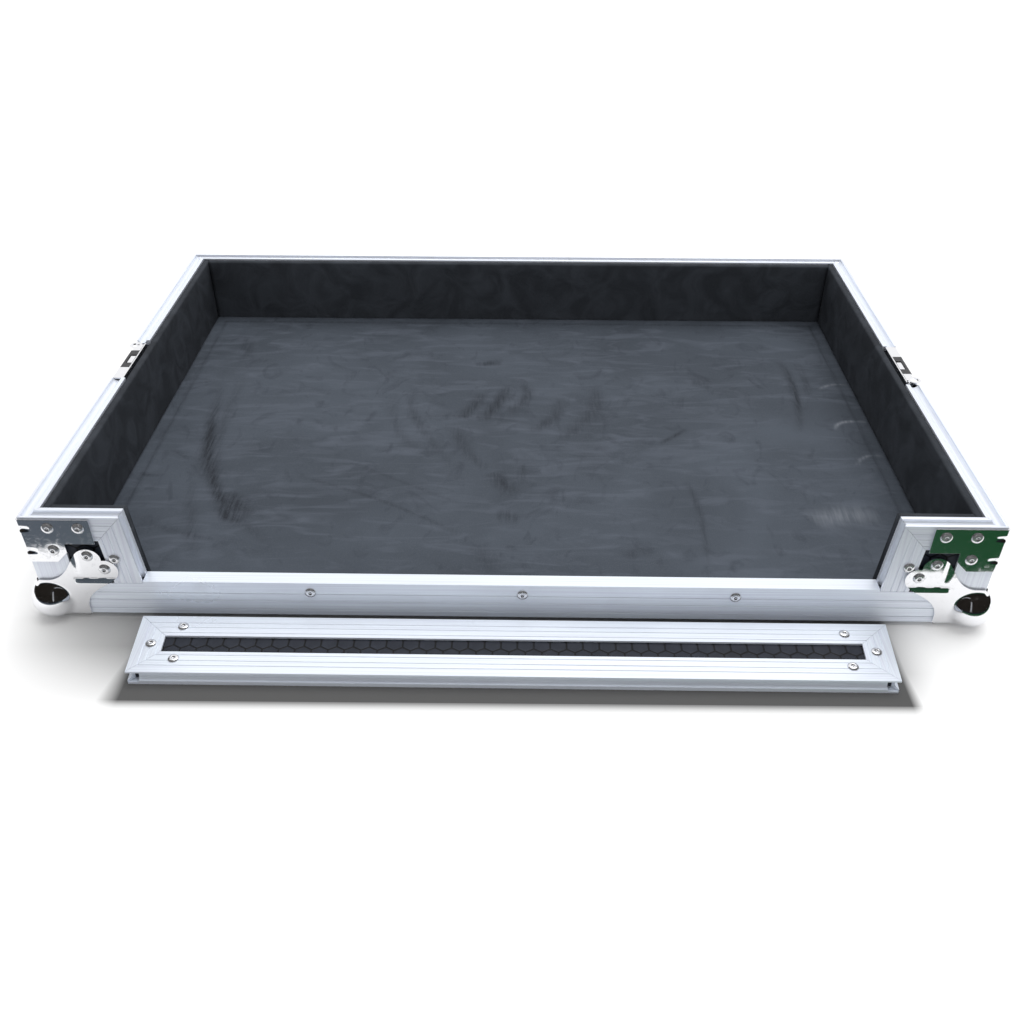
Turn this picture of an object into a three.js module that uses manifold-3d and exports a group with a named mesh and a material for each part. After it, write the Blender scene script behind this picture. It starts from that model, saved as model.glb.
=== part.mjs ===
// Flight case tray for a DJ controller, with its loose front panel lying before it.
// Millimetres, +Z up, +X to the right and +Y to the back of the case.
// The origin is on the floor, under the middle of the whole object.

import * as THREE from 'three';
import { mergeVertices } from 'three/addons/utils/BufferGeometryUtils.js';
import Module from 'manifold-3d';

const wasm = await Module();
wasm.setup();

// Driving sizes of the tray
const caseWidth = 790;
const caseDepth = 540;
const bodyHeight = 101;
const returnWidth = 81.5;
const sillHeight = 35;
const openingSlantShare = 0.08;

// Boards, metal and clearances
const boardThickness = 9;
const metalWall = 1.9;
const plateThickness = 1.5;
const fitGap = 0.3;
const cutOverrun = 4;

// Grooved edge extrusion, the same on the rim, the jambs and the loose panel
const flangeWidth = 23.5;
const innerFlangeWidth = 12;
const grooveWidth = 8.2;
const grooveDepth = 3.6;
const grooveWall = 1.6;
const grooveLip = 1.5;
const grooveSteps = 8;
const ribWidth = 0.9;
const ribDepth = 0.4;
const ribShares = [0.34, 0.57, 0.84];

// Plain edge angles along the bottom, and the corner posts
const bottomAngleHeight = 26;
const bottomFlangeWidth = 26;
const postWidth = 31;

// Foam lining
const wallFoamThickness = 7;
const wallFoamDrop = 1;
const floorFoamThickness = 16.5;

// Ball corners
const ballRadius = 19.5;
const ballProud = 5;
const ballSideProud = 13;
const ballSides = 20;
const cornerCut = 31;
const legBase = 37;
const legBaseStraight = 10;
const waistNear = 40.5;
const waistRise = 30.5;
const waistFar = 66;
const waistLevel = 31.5;
const lobeRadius = 10.2;
const lobeNear = 48.2;
const lobeFar = 59.9;
const lobeTurnShare = 0.61;
const pressStart = 31;
const pressEnd = 58.5;
const pressWidth = 6.4;
const pressLevel = 36.4;
const pressDepth = 0.9;
const pressGap = 1.5;
const curveSteps = 6;

// Corner braces at the rim
const braceDrop = 1.2;
const braceGap = 5.4;
const flagWidth = 57.5;
const braceWidth = 32.5;
const braceSkirt = 18.7;
const braceChamfer = 9.8;

// Side latches: dish, its recess and the guide for the hook
const latchGap = 80;
const dishWall = 1.2;
const dishTopDrop = 0.5;
const dishFootGap = 2.5;
const recessWidth = 66;
const recessFoot = 6.5;
const recessCornerRadius = 10;
const tabThickness = 1.5;
const guideWidth = 35.4;
const guideHeight = 14;
const guideFrontInset = 1;
const guideSlotInset = 3.7;

// Side latches: padlock eye
const eyeRadius = 6.5;
const eyeHoleRadius = 3.9;
const eyeInset = 2;
const eyeFromEnd = 10;
const eyeRootWidth = 13;
const eyeSides = 20;

// Side latches: spindle, hook and butterfly wings
const shaftRadius = 3;
const bearingGap = 0.35;
const camRadius = 7.2;
const camThrow = 5;
const camSlotPlay = 1.3;
const hookFrameWall = 3;
const hookThickness = 2.2;
const hookInset = 6.9;
const hookNeckWidth = 16;
const hookTopDrop = 1.2;
const hookLip = 2.6;
const hookLipHeight = 2.5;
const discInset = 5;
const discThickness = 1.4;
const discRadius = 14;
const pinInset = 2.9;
const pinRadius = 0.8;
const pinGap = 0.3;
const pinSpacing = 5.2;
const knuckleRadius = 1.8;
const knuckleLength = 18;
const earWidth = 2.4;
const fingerGap = 9.5;
const wingHeadRoom = 2;
const wingFootRoom = 2.5;
const wingThickness = 2;
const wingStart = 5.2;
const roundSides = 16;

// Loose front panel, lying face up before the tray
const panelSideClearance = 2;
const panelTopClearance = 0.5;
const panelDistance = 13.2;
const panelShift = 2.7;
const cornerReliefLength = 9;

// Sizes worked out from those above
const halfWidth = caseWidth / 2;
const openingHalf = halfWidth - returnWidth;
const slantStretch = Math.hypot(1, openingSlantShare);
const rimTop = ballProud + bodyHeight;
const boardInset = metalWall + fitGap;
const boardInner = boardInset + boardThickness;
const rimWidth = boardInner + fitGap + metalWall;
const grooveFloor = grooveDepth + grooveWall;
const boardDrop = grooveFloor + fitGap;
const baseBottom = ballProud + boardInset;
const baseTop = baseBottom + boardThickness;
const wallBottom = baseTop + fitGap;
const wallTop = rimTop - boardDrop;
const sillTop = ballProud + sillHeight;
const jambFoot = sillTop - metalWall;
const capHalf = openingEdge(jambFoot) - fitGap;
const foamOuter = rimWidth + fitGap;
const foamFace = foamOuter + wallFoamThickness;
const foamTop = rimTop - wallFoamDrop;
const foamStep = rimTop - innerFlangeWidth - fitGap;
const floorFoamTop = wallBottom + floorFoamThickness;
const legProud = fitGap + plateThickness;
const legReach = lobeFar + lobeRadius;
const flagHeight = bodyHeight - braceDrop - legReach - braceGap;
const braceHeight = flagHeight + braceSkirt;
const dishWidth = latchGap - 2 * fitGap;
const dishHeight = bodyHeight - dishTopDrop - bottomAngleHeight - dishFootGap;
const recessHeight = dishTopDrop + dishHeight - recessFoot;
const flangeInset = boardInset - fitGap - dishWall;
const recessFloor = boardInner - dishWall;
const wingRoom = recessHeight - dishTopDrop - guideHeight - wingHeadRoom - wingFootRoom;
const wingRadius = Math.min(recessWidth / 2 - fingerGap, wingRoom / 2);
const spindleDrop = recessHeight - wingFootRoom - wingRadius;
const panelHeight = bodyHeight - sillHeight - panelTopClearance;
const panelFront = -panelDistance - panelHeight;
const panelFootHalf = openingEdge(sillTop) - panelSideClearance;
const middleOfDepth = (panelFront + caseDepth + ballSideProud) / 2;

// The front opening's half width at a height: it widens evenly up to the rim
function openingEdge(z) {
  return openingHalf - openingSlantShare * (rimTop - z);
}

// Materials
const aluminium = material(0xc9ccd4, 0.36, 0.9);
const chrome = material(0xe6e8ee, 0.12, 1);
const laminate = material(0x26292f, 0.62, 0);
const wallFoam = material(0x1d2023, 0.95, 0);
const floorFoam = material(0x45474f, 0.95, 0);
const blackSteel = material(0x101114, 0.5, 0.6);

function material(color, roughness, metalness) {
  return new THREE.MeshStandardMaterial({ color, roughness, metalness, flatShading: true });
}

// Geometry helpers

function point(x, y) {
  return new THREE.Vector2(x, y);
}

function outlined(points) {
  return new THREE.Shape(points);
}

function rectangle(left, low, right, high) {
  return outlined([point(left, low), point(right, low), point(right, high), point(left, high)]);
}

function circle(x, y, radius) {
  const shape = new THREE.Shape();
  shape.absarc(x, y, radius, 0, 2 * Math.PI, false);
  return shape;
}

// Extrudes a shape from one level to another, straight up
function plate(shape, low, high, steps = curveSteps) {
  const geometry = new THREE.ExtrudeGeometry(shape, {
    depth: high - low,
    bevelEnabled: false,
    curveSegments: steps,
  });
  return geometry.translate(0, 0, low);
}

// The same with the shape's width along Y and its height along Z, extruded along X
function plateAcrossX(shape, low, high, steps = curveSteps) {
  const turn = new THREE.Matrix4().makeBasis(axis(0, 1, 0), axis(0, 0, 1), axis(1, 0, 0));
  return plate(shape, low, high, steps).applyMatrix4(turn);
}

// The same with the shape's width along X and its height along Z, extruded along Y
function plateAcrossY(shape, low, high, steps = curveSteps) {
  const turn = new THREE.Matrix4().makeBasis(axis(1, 0, 0), axis(0, 0, 1), axis(0, -1, 0));
  return plate(shape, -high, -low, steps).applyMatrix4(turn);
}

function axis(x, y, z) {
  return new THREE.Vector3(x, y, z);
}

function block(lowX, lowY, lowZ, highX, highY, highZ) {
  return plate(rectangle(lowX, lowY, highX, highY), lowZ, highZ);
}

// Turns the faces of a closed geometry outwards, which a mirror image needs
function outward(geometry) {
  const places = geometry.getAttribute('position');
  const order = geometry.getIndex();
  const corners = [axis(0, 0, 0), axis(0, 0, 0), axis(0, 0, 0)];
  let volume = 0;
  for (let i = 0; i < order.count; i += 3) {
    corners.forEach((corner, k) => corner.fromBufferAttribute(places, order.getX(i + k)));
    volume += corners[0].dot(corners[1].cross(corners[2]));
  }
  if (volume < 0) {
    for (let i = 0; i < order.count; i += 3) {
      const second = order.getX(i + 1);
      order.setX(i + 1, order.getX(i + 2));
      order.setX(i + 2, second);
    }
  }
  return geometry;
}

// Shares equal vertices, and drops the triangles that two shared corners leave empty
function merged(geometry) {
  const plain = new THREE.BufferGeometry();
  plain.setAttribute('position', geometry.getAttribute('position'));
  plain.setIndex(geometry.getIndex());
  const whole = mergeVertices(plain);
  const order = whole.getIndex();
  const kept = [];
  for (let i = 0; i < order.count; i += 3) {
    const [a, b, c] = [order.getX(i), order.getX(i + 1), order.getX(i + 2)];
    if (a !== b && b !== c && c !== a) {
      kept.push(a, b, c);
    }
  }
  return whole.setIndex(kept);
}

function toSolid(geometry) {
  const closed = merged(geometry);
  return new wasm.Manifold(new wasm.Mesh({
    numProp: 3,
    vertProperties: new Float32Array(closed.getAttribute('position').array),
    triVerts: new Uint32Array(closed.getIndex().array),
  }));
}

function toGeometry(solid) {
  const { vertProperties, triVerts } = solid.getMesh();
  const geometry = new THREE.BufferGeometry();
  geometry.setAttribute('position', new THREE.BufferAttribute(vertProperties, 3));
  geometry.setIndex(new THREE.BufferAttribute(triVerts, 1));
  return geometry;
}

function joined(first, ...others) {
  return toGeometry(others.reduce((sum, other) => sum.add(toSolid(other)), toSolid(first)));
}

function cut(first, ...others) {
  return toGeometry(others.reduce((rest, other) => rest.subtract(toSolid(other)), toSolid(first)));
}

function placed(geometry, matrix) {
  return outward(merged(geometry).applyMatrix4(matrix));
}

// A bar of constant section. Each end lies at a straight function of the section's own
// coordinates, so a slope of zero is a square cut and a slope of one is a mitre.
function bar(outline, length, startSlope, endSlope) {
  const count = outline.length;
  const places = [];
  outline.forEach((p) => places.push(p.x, p.y, startSlope.dot(p)));
  outline.forEach((p) => places.push(p.x, p.y, length - endSlope.dot(p)));
  const order = [];
  outline.forEach((_, i) => {
    const next = (i + 1) % count;
    order.push(i, next, next + count, i, next + count, i + count);
  });
  THREE.ShapeUtils.triangulateShape(outline, []).forEach(([a, b, c]) => {
    order.push(c, b, a, a + count, b + count, c + count);
  });
  const geometry = new THREE.BufferGeometry();
  geometry.setAttribute('position', new THREE.Float32BufferAttribute(places, 3));
  geometry.setIndex(order);
  return geometry;
}

const square = point(0, 0);
const mitreInPlan = point(1, 0);

// Mitres in the face, at the wide and the narrow corners that a slanted bar makes
const mitreWideCorner = point(0, slantStretch - openingSlantShare);
const mitreNarrowCorner = point(0, slantStretch + openingSlantShare);

// Lays a bar from a start point: its section's x runs inwards, its y down the flange
function laid(geometry, start, inwards, down, along) {
  const matrix = new THREE.Matrix4().makeBasis(inwards, down, along).setPosition(start);
  return placed(geometry, matrix);
}

// Maps a corner's own coordinates, which count inwards from its three outer faces
function atCorner(side, end) {
  const y = end < 0 ? 0 : caseDepth;
  const inwards = new THREE.Matrix4().makeBasis(axis(-side, 0, 0), axis(0, -end, 0), axis(0, 0, 1));
  return inwards.setPosition(side * halfWidth, y, ballProud);
}

// The four corners of the tray, by side (-1 left) and end (-1 front)
const corners = [[-1, -1], [1, -1], [-1, 1], [1, 1]];

function sideName(side) {
  return side < 0 ? 'left' : 'right';
}

function endName(end) {
  return end < 0 ? 'front' : 'rear';
}

// Sections of the extrusions

// Fine lines pressed along a flange, from its far edge up
function ribLines(height) {
  return ribShares.toReversed().flatMap((share) => [
    point(0, share * height + ribWidth / 2),
    point(ribDepth, share * height),
    point(0, share * height - ribWidth / 2),
  ]);
}

// The rounded groove that a lid's tongue drops into
function grooveCurve() {
  const radius = (grooveWidth * grooveWidth / 4 + grooveDepth * grooveDepth) / (2 * grooveDepth);
  const middle = grooveLip + grooveWidth / 2;
  const halfAngle = Math.asin(grooveWidth / 2 / radius);
  return Array.from({ length: grooveSteps + 1 }, (_, i) => {
    const angle = halfAngle * (2 * i / grooveSteps - 1);
    return point(middle + radius * Math.sin(angle), grooveDepth + radius * (Math.cos(angle) - 1));
  });
}

function rimSection() {
  return [
    point(0, 0),
    ...grooveCurve(),
    point(rimWidth, 0),
    point(rimWidth, innerFlangeWidth),
    point(rimWidth - metalWall, innerFlangeWidth),
    point(rimWidth - metalWall, grooveFloor),
    point(metalWall, grooveFloor),
    point(metalWall, flangeWidth),
    point(0, flangeWidth),
    ...ribLines(flangeWidth),
  ];
}

// Upright flange with its ribs, and the flange under the base, seen from its top edge down
function angleSection(height) {
  return [
    point(0, 0),
    point(metalWall, 0),
    point(metalWall, height - metalWall),
    point(bottomFlangeWidth, height - metalWall),
    point(bottomFlangeWidth, height),
    point(0, height),
    ...ribLines(height),
  ];
}

// The cap that the sill adds over the low front board
function sillCapSection() {
  return [
    point(0, 0),
    point(rimWidth, 0),
    point(rimWidth, innerFlangeWidth),
    point(rimWidth - metalWall, innerFlangeWidth),
    point(rimWidth - metalWall, metalWall),
    point(0, metalWall),
  ];
}

// Boards

// A corner of the box that the ball takes the place of
function cornerWedge(length) {
  const far = length + 2 * cutOverrun;
  const low = -cutOverrun;
  const geometry = new THREE.BufferGeometry();
  const places = [low, low, low, far, low, low, low, far, low, low, low, far];
  geometry.setAttribute('position', new THREE.Float32BufferAttribute(places, 3));
  geometry.setIndex([0, 2, 1, 0, 1, 3, 0, 3, 2, 1, 2, 3]);
  return geometry;
}

function cutCorners(geometry, places) {
  return cut(geometry, ...places.map(([side, end]) => placed(cornerWedge(cornerCut), atCorner(side, end))));
}

function baseBoard() {
  const reach = halfWidth - boardInset;
  const board = block(-reach, boardInset, baseBottom, reach, caseDepth - boardInset, baseTop);
  return cutCorners(board, corners);
}

function backBoard() {
  const reach = halfWidth - boardInner - fitGap;
  const back = caseDepth - boardInset;
  const board = block(-reach, back - boardThickness, wallBottom, reach, back, wallTop);
  return cutCorners(board, [[-1, 1], [1, 1]]);
}

// The side board is notched for the latch dish, from its top edge
function sideBoard(side) {
  const notch = recessWidth / 2 + dishWall + fitGap;
  const middle = caseDepth / 2;
  const notchFloor = rimTop - recessHeight - dishWall - fitGap;
  const shape = outlined([
    point(boardInset, wallBottom),
    point(caseDepth - boardInset, wallBottom),
    point(caseDepth - boardInset, wallTop),
    point(middle + notch, wallTop),
    point(middle + notch, notchFloor),
    point(middle - notch, notchFloor),
    point(middle - notch, wallTop),
    point(boardInset, wallTop),
  ]);
  const outer = side * (halfWidth - boardInset);
  const inner = side * (halfWidth - boardInner);
  const board = plateAcrossX(shape, Math.min(outer, inner), Math.max(outer, inner));
  return cutCorners(board, [[side, -1], [side, 1]]);
}

// One board makes both front returns and the low strip behind the sill
function frontBoard() {
  const reach = halfWidth - boardInner - fitGap;
  const stripTop = sillTop - boardInset;
  const drop = boardDrop * slantStretch;
  const high = openingEdge(wallTop) + drop;
  const low = openingEdge(stripTop) + drop;
  const shape = outlined([
    point(-reach, wallBottom),
    point(reach, wallBottom),
    point(reach, wallTop),
    point(high, wallTop),
    point(low, stripTop),
    point(-low, stripTop),
    point(-high, wallTop),
    point(-reach, wallTop),
  ]);
  const board = plateAcrossY(shape, boardInset, boardInner);
  return cutCorners(board, [[-1, -1], [1, -1]]);
}

// Foam lining

// Wall foam laps over the extrusion's inner flange and thickens below it
function wallFoamSection() {
  return [
    point(foamOuter, rimTop - foamTop),
    point(foamFace, rimTop - foamTop),
    point(foamFace, rimTop - wallBottom),
    point(boardInner + fitGap, rimTop - wallBottom),
    point(boardInner + fitGap, rimTop - foamStep),
    point(foamOuter, rimTop - foamStep),
  ];
}

function sideFoam(side) {
  const length = caseDepth - 2 * (boardInner + fitGap);
  const strip = bar(wallFoamSection(), length, square, square);
  const start = axis(side * halfWidth, boardInner + fitGap, rimTop);
  const blockout = sideFoamEnds(side);
  return cut(laid(strip, start, axis(-side, 0, 0), axis(0, 0, -1), axis(0, 1, 0)), ...blockout);
}

// Room at both ends of a side foam for the inner flanges of the front and back rims
function sideFoamEnds(side) {
  const outer = side * halfWidth;
  const inner = side * (halfWidth - foamFace - cutOverrun);
  const low = Math.min(outer, inner);
  const high = Math.max(outer, inner);
  return [
    block(low, 0, foamStep, high, foamOuter, rimTop + cutOverrun),
    block(low, caseDepth - foamOuter, foamStep, high, caseDepth, rimTop + cutOverrun),
  ];
}

function backFoam() {
  const reach = halfWidth - foamFace - fitGap;
  const strip = bar(wallFoamSection(), 2 * reach, square, square);
  return laid(strip, axis(-reach, caseDepth, rimTop), axis(0, -1, 0), axis(0, 0, -1), axis(1, 0, 0));
}

// A front return's foam ends at the slanted opening, over the jamb's inner flange
function returnFoam(side) {
  const outer = halfWidth - foamFace - fitGap;
  const length = outer - openingHalf;
  const strip = bar(wallFoamSection(), length, square, point(0, -openingSlantShare));
  const start = axis(side * outer, 0, rimTop);
  const foam = laid(strip, start, axis(0, 1, 0), axis(0, 0, -1), axis(-side, 0, 0));
  const low = wallBottom - cutOverrun;
  const flange = innerFlangeWidth * slantStretch + fitGap;
  const overFlange = outlined([
    point(side * (openingEdge(low) - cutOverrun), low),
    point(side * (openingEdge(low) + flange), low),
    point(side * (openingEdge(rimTop) + flange), rimTop),
    point(side * (openingEdge(rimTop) - cutOverrun), rimTop),
  ]);
  return cut(foam, plateAcrossY(overFlange, 0, foamOuter));
}

// The floor foam lies between the wall foams, with a broad tongue up to the sill
function floorFoamPad() {
  const reach = halfWidth - foamFace - fitGap;
  const back = caseDepth - foamFace - fitGap;
  const front = foamFace + fitGap;
  const tongue = openingEdge(wallBottom) - fitGap;
  const shape = outlined([
    point(-tongue, foamOuter),
    point(tongue, foamOuter),
    point(tongue, front),
    point(reach, front),
    point(reach, back),
    point(-reach, back),
    point(-reach, front),
    point(-tongue, front),
  ]);
  return plate(shape, wallBottom, floorFoamTop);
}

// Extrusions

function backRim() {
  const section = rimSection();
  const rim = bar(section, caseWidth, mitreInPlan, mitreInPlan);
  return laid(rim, axis(-halfWidth, caseDepth, rimTop), axis(0, -1, 0), axis(0, 0, -1), axis(1, 0, 0));
}

// A side rim runs from a corner mitre to the latch gap
function sideRim(side, end) {
  const length = (caseDepth - latchGap) / 2 - fitGap;
  const rim = bar(rimSection(), length, mitreInPlan, square);
  const y = end < 0 ? fitGap : caseDepth - fitGap;
  return laid(rim, axis(side * halfWidth, y, rimTop), axis(-side, 0, 0), axis(0, 0, -1), axis(0, -end, 0));
}

// The top rail of a front return: mitred to the side rim in plan and to the jamb in the face
function returnRail(side) {
  const length = halfWidth - openingHalf;
  const rail = bar(rimSection(), length, mitreInPlan, mitreWideCorner);
  const start = axis(side * halfWidth, 0, rimTop);
  return laid(rail, start, axis(0, 1, 0), axis(0, 0, -1), axis(-side, 0, 0));
}

// A jamb leans with the opening. Its foot is level, housed in the sill beside its cap.
function jamb(side) {
  const top = rimTop - fitGap;
  const length = (top - jambFoot) * slantStretch;
  const levelFoot = point(0, openingSlantShare);
  const upright = bar(rimSection(), length, mitreWideCorner, levelFoot);
  const start = axis(side * openingEdge(top), 0, top);
  const outwards = axis(side, 0, -openingSlantShare).normalize();
  const down = axis(-side * openingSlantShare, 0, -1).normalize();
  return laid(upright, start, axis(0, 1, 0), outwards, down);
}

// The sill's cap lies between the jambs, and beside it the flange steps down under them
function sill() {
  const flange = bar(angleSection(sillHeight), caseWidth, mitreInPlan, mitreInPlan);
  const cap = bar(sillCapSection(), 2 * capHalf, square, square);
  const inwards = axis(0, 1, 0);
  const down = axis(0, 0, -1);
  const along = axis(1, 0, 0);
  const whole = joined(
    laid(flange, axis(-halfWidth, 0, sillTop), inwards, down, along),
    laid(cap, axis(-capHalf, 0, sillTop), inwards, down, along),
  );
  const past = halfWidth + cutOverrun;
  const low = sillTop - boardInset;
  const stepped = cut(
    whole,
    block(-past, -cutOverrun, low, -capHalf, rimWidth, sillTop + cutOverrun),
    block(capHalf, -cutOverrun, low, past, rimWidth, sillTop + cutOverrun),
  );
  return cutCorners(stepped, [[-1, -1], [1, -1]]);
}

function backAngle() {
  const length = bar(angleSection(bottomAngleHeight), caseWidth, mitreInPlan, mitreInPlan);
  const start = axis(-halfWidth, caseDepth, ballProud + bottomAngleHeight);
  const angle = laid(length, start, axis(0, -1, 0), axis(0, 0, -1), axis(1, 0, 0));
  return cutCorners(angle, [[-1, 1], [1, 1]]);
}

function sideAngle(side) {
  const run = caseDepth - 2 * fitGap;
  const length = bar(angleSection(bottomAngleHeight), run, mitreInPlan, mitreInPlan);
  const start = axis(side * halfWidth, fitGap, ballProud + bottomAngleHeight);
  const angle = laid(length, start, axis(-side, 0, 0), axis(0, 0, -1), axis(0, 1, 0));
  return cutCorners(angle, [[side, -1], [side, 1]]);
}

// A corner post stands between the bottom extrusions and the rim's flanges
function cornerPost(side, end) {
  const foot = end < 0 ? sillHeight - boardInset : bottomAngleHeight;
  const low = Math.max(foot, cornerCut) + fitGap;
  const high = bodyHeight - flangeWidth - fitGap;
  const shape = outlined([
    point(0, 0),
    point(postWidth, 0),
    point(postWidth, metalWall),
    point(metalWall, metalWall),
    point(metalWall, postWidth),
    point(0, postWidth),
  ]);
  return placed(plate(shape, low, high), atCorner(side, end));
}

// Ball corners

// A leg's outline, mirrored about its diagonal: a waist sweeps out of the ball to two
// round lobes, one for each rivet
function legOutline() {
  const middle = (lobeNear + lobeFar) / 2;
  const halfSpan = (lobeFar - lobeNear) / Math.SQRT2;
  const valley = middle + Math.sqrt(Math.max(lobeRadius * lobeRadius - halfSpan * halfSpan, 0)) / Math.SQRT2;
  const valleyTurn = Math.atan2(valley - lobeNear, valley - lobeFar);
  const outerTurn = Math.PI / 2 - lobeTurnShare * Math.PI;
  const shape = new THREE.Shape();
  shape.moveTo(-legProud, -legProud);
  shape.lineTo(legBase, -legProud);
  shape.lineTo(legBase, legBaseStraight);
  const startX = lobeFar + lobeRadius * Math.cos(outerTurn);
  const startY = lobeNear + lobeRadius * Math.sin(outerTurn);
  shape.bezierCurveTo(waistNear, waistRise, waistFar, waistLevel, startX, startY);
  shape.absarc(lobeFar, lobeNear, lobeRadius, outerTurn, valleyTurn, false);
  shape.absarc(lobeNear, lobeFar, lobeRadius, Math.PI / 2 - valleyTurn, Math.PI / 2 - outerTurn, false);
  shape.bezierCurveTo(waistLevel, waistFar, waistRise, waistNear, legBaseStraight, legBase);
  shape.lineTo(-legProud, legBase);
  return shape;
}

// A pressed groove's outline, with round ends
function pressOutline(start) {
  const radius = pressWidth / 2;
  const groove = new THREE.Shape();
  groove.absarc(start + radius, pressLevel, radius, Math.PI / 2, 3 * Math.PI / 2, false);
  groove.absarc(pressEnd - radius, pressLevel, radius, -Math.PI / 2, Math.PI / 2, false);
  return groove;
}

// The upright groove begins above the level one
function uprightPressOutline() {
  const level = pressOutline(pressLevel + pressWidth / 2 + pressGap).getPoints(curveSteps);
  return outlined(level.map((p) => point(p.y, p.x)));
}

// Round ball, hollow behind, with three flat legs that lie on the outer faces. The ball
// stands farther out at the sides than it does underneath.
function ballCorner(side, end) {
  const inset = ballRadius - ballSideProud;
  const level = ballRadius - ballProud;
  const grooveLow = -legProud - cutOverrun;
  const grooveHigh = -legProud + pressDepth;
  const solid = joined(
    new THREE.SphereGeometry(ballRadius, ballSides, ballSides / 2).translate(inset, inset, level),
    plateAcrossY(legOutline(), -legProud, -fitGap),
    plateAcrossX(legOutline(), -legProud, -fitGap),
    plate(legOutline(), -legProud, -fitGap),
  );
  const shell = cut(
    solid,
    plateAcrossY(pressOutline(pressStart), grooveLow, grooveHigh),
    plateAcrossY(uprightPressOutline(), grooveLow, grooveHigh),
    plateAcrossX(pressOutline(pressStart), grooveLow, grooveHigh),
    plateAcrossX(uprightPressOutline(), grooveLow, grooveHigh),
  );
  const inner = new THREE.SphereGeometry(ballRadius - plateThickness, ballSides, ballSides / 2);
  const reach = legReach + cutOverrun;
  const inside = cut(
    block(-fitGap, -fitGap, -fitGap, reach, reach, reach),
    cornerWedge(cornerCut - 2 * fitGap),
  );
  return placed(cut(shell, inner.translate(inset, inset, level), inside), atCorner(side, end));
}

// Corner braces

// One leg of a brace: a flag along the rim and a chamfered block below it
function braceOutline() {
  const top = bodyHeight - braceDrop;
  const flagLow = top - flagHeight;
  const low = top - braceHeight;
  return outlined([
    point(-legProud, low),
    point(braceWidth - braceChamfer, low),
    point(braceWidth, low + braceChamfer),
    point(braceWidth, flagLow),
    point(flagWidth, flagLow),
    point(flagWidth, top),
    point(-legProud, top),
  ]);
}

function brace(side, end) {
  const folded = joined(
    plateAcrossY(braceOutline(), -legProud, -fitGap),
    plateAcrossX(braceOutline(), -legProud, -fitGap),
  );
  return placed(folded, atCorner(side, end));
}

// Side latches. Each is drawn in its own place: X out of the case, Y along the wall and Z up
// from the rim's top, all from the middle of the gap in the rim.

function recessOutline(grow) {
  const half = recessWidth / 2 + grow;
  const low = -recessHeight - grow;
  const radius = recessCornerRadius + grow;
  const shape = new THREE.Shape();
  shape.moveTo(-half, 0);
  shape.lineTo(-half, low + radius);
  shape.absarc(-half + radius, low + radius, radius, Math.PI, 3 * Math.PI / 2, false);
  shape.absarc(half - radius, low + radius, radius, -Math.PI / 2, 0, false);
  shape.lineTo(half, 0);
  return shape;
}

// The dish's flange steps down at one end to pass under the padlock eye
function flangeOutline() {
  const half = dishWidth / 2;
  const low = -dishTopDrop - dishHeight;
  const underEye = -dishTopDrop - tabThickness - fitGap;
  const tabStart = guideWidth / 2 + fitGap;
  return outlined([
    point(-half, low),
    point(half, low),
    point(half, -dishTopDrop),
    point(tabStart, -dishTopDrop),
    point(tabStart, underEye),
    point(-half, underEye),
  ]);
}

// Pressed dish: flange, recess shell open at the top, and a tab that closes one end of it
function latchDish() {
  const tabStart = guideWidth / 2 + fitGap;
  const tab = rectangle(tabStart, -dishTopDrop - tabThickness, dishWidth / 2, -dishTopDrop);
  const eyeTop = -dishTopDrop - tabThickness - fitGap;
  const bearing = circle(0, -spindleDrop, shaftRadius + bearingGap);
  const outside = joined(
    plateAcrossX(flangeOutline(), -flangeInset - dishWall, -flangeInset),
    plateAcrossX(recessOutline(dishWall), -recessFloor - dishWall, -flangeInset),
  );
  const hollow = cut(
    outside,
    plateAcrossX(recessOutline(0), -recessFloor, cutOverrun),
    plateAcrossX(bearing, -recessFloor - dishWall - cutOverrun, cutOverrun, roundSides / 4),
    block(-recessFloor - dishWall - cutOverrun, -dishWidth, -dishTopDrop, cutOverrun, dishWidth, cutOverrun),
    block(-recessFloor, -dishWidth, eyeTop, cutOverrun, tabStart, cutOverrun),
  );
  return joined(hollow, plateAcrossX(tab, -recessFloor - dishWall, -flangeInset));
}

// Flat eye for a padlock, at the left end of the gap seen from outside
function padlockEye() {
  const middle = -latchGap / 2 + eyeFromEnd;
  const root = -recessFloor + fitGap;
  const near = -guideWidth / 2 - fitGap;
  const low = -dishTopDrop - tabThickness;
  const ring = plate(circle(-eyeInset, middle, eyeRadius), low, -dishTopDrop, eyeSides / 4);
  const strap = block(root, near - eyeRootWidth, low, -eyeInset, near, -dishTopDrop);
  const hole = circle(-eyeInset, middle, eyeHoleRadius);
  return cut(joined(ring, strap), plate(hole, low - cutOverrun, cutOverrun, eyeSides / 4));
}

// Black guide for the hook, a channel open to the dish's back and at its top
function hookGuide() {
  const half = guideWidth / 2;
  const slot = hookNeckWidth / 2 + fitGap;
  const low = -dishTopDrop - guideHeight;
  const body = block(-recessFloor + fitGap, -half, low, -guideFrontInset, half, -dishTopDrop);
  const channel = block(
    -recessFloor - cutOverrun, -slot, low - cutOverrun,
    -guideSlotInset, slot, cutOverrun,
  );
  return cut(body, channel);
}

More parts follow.
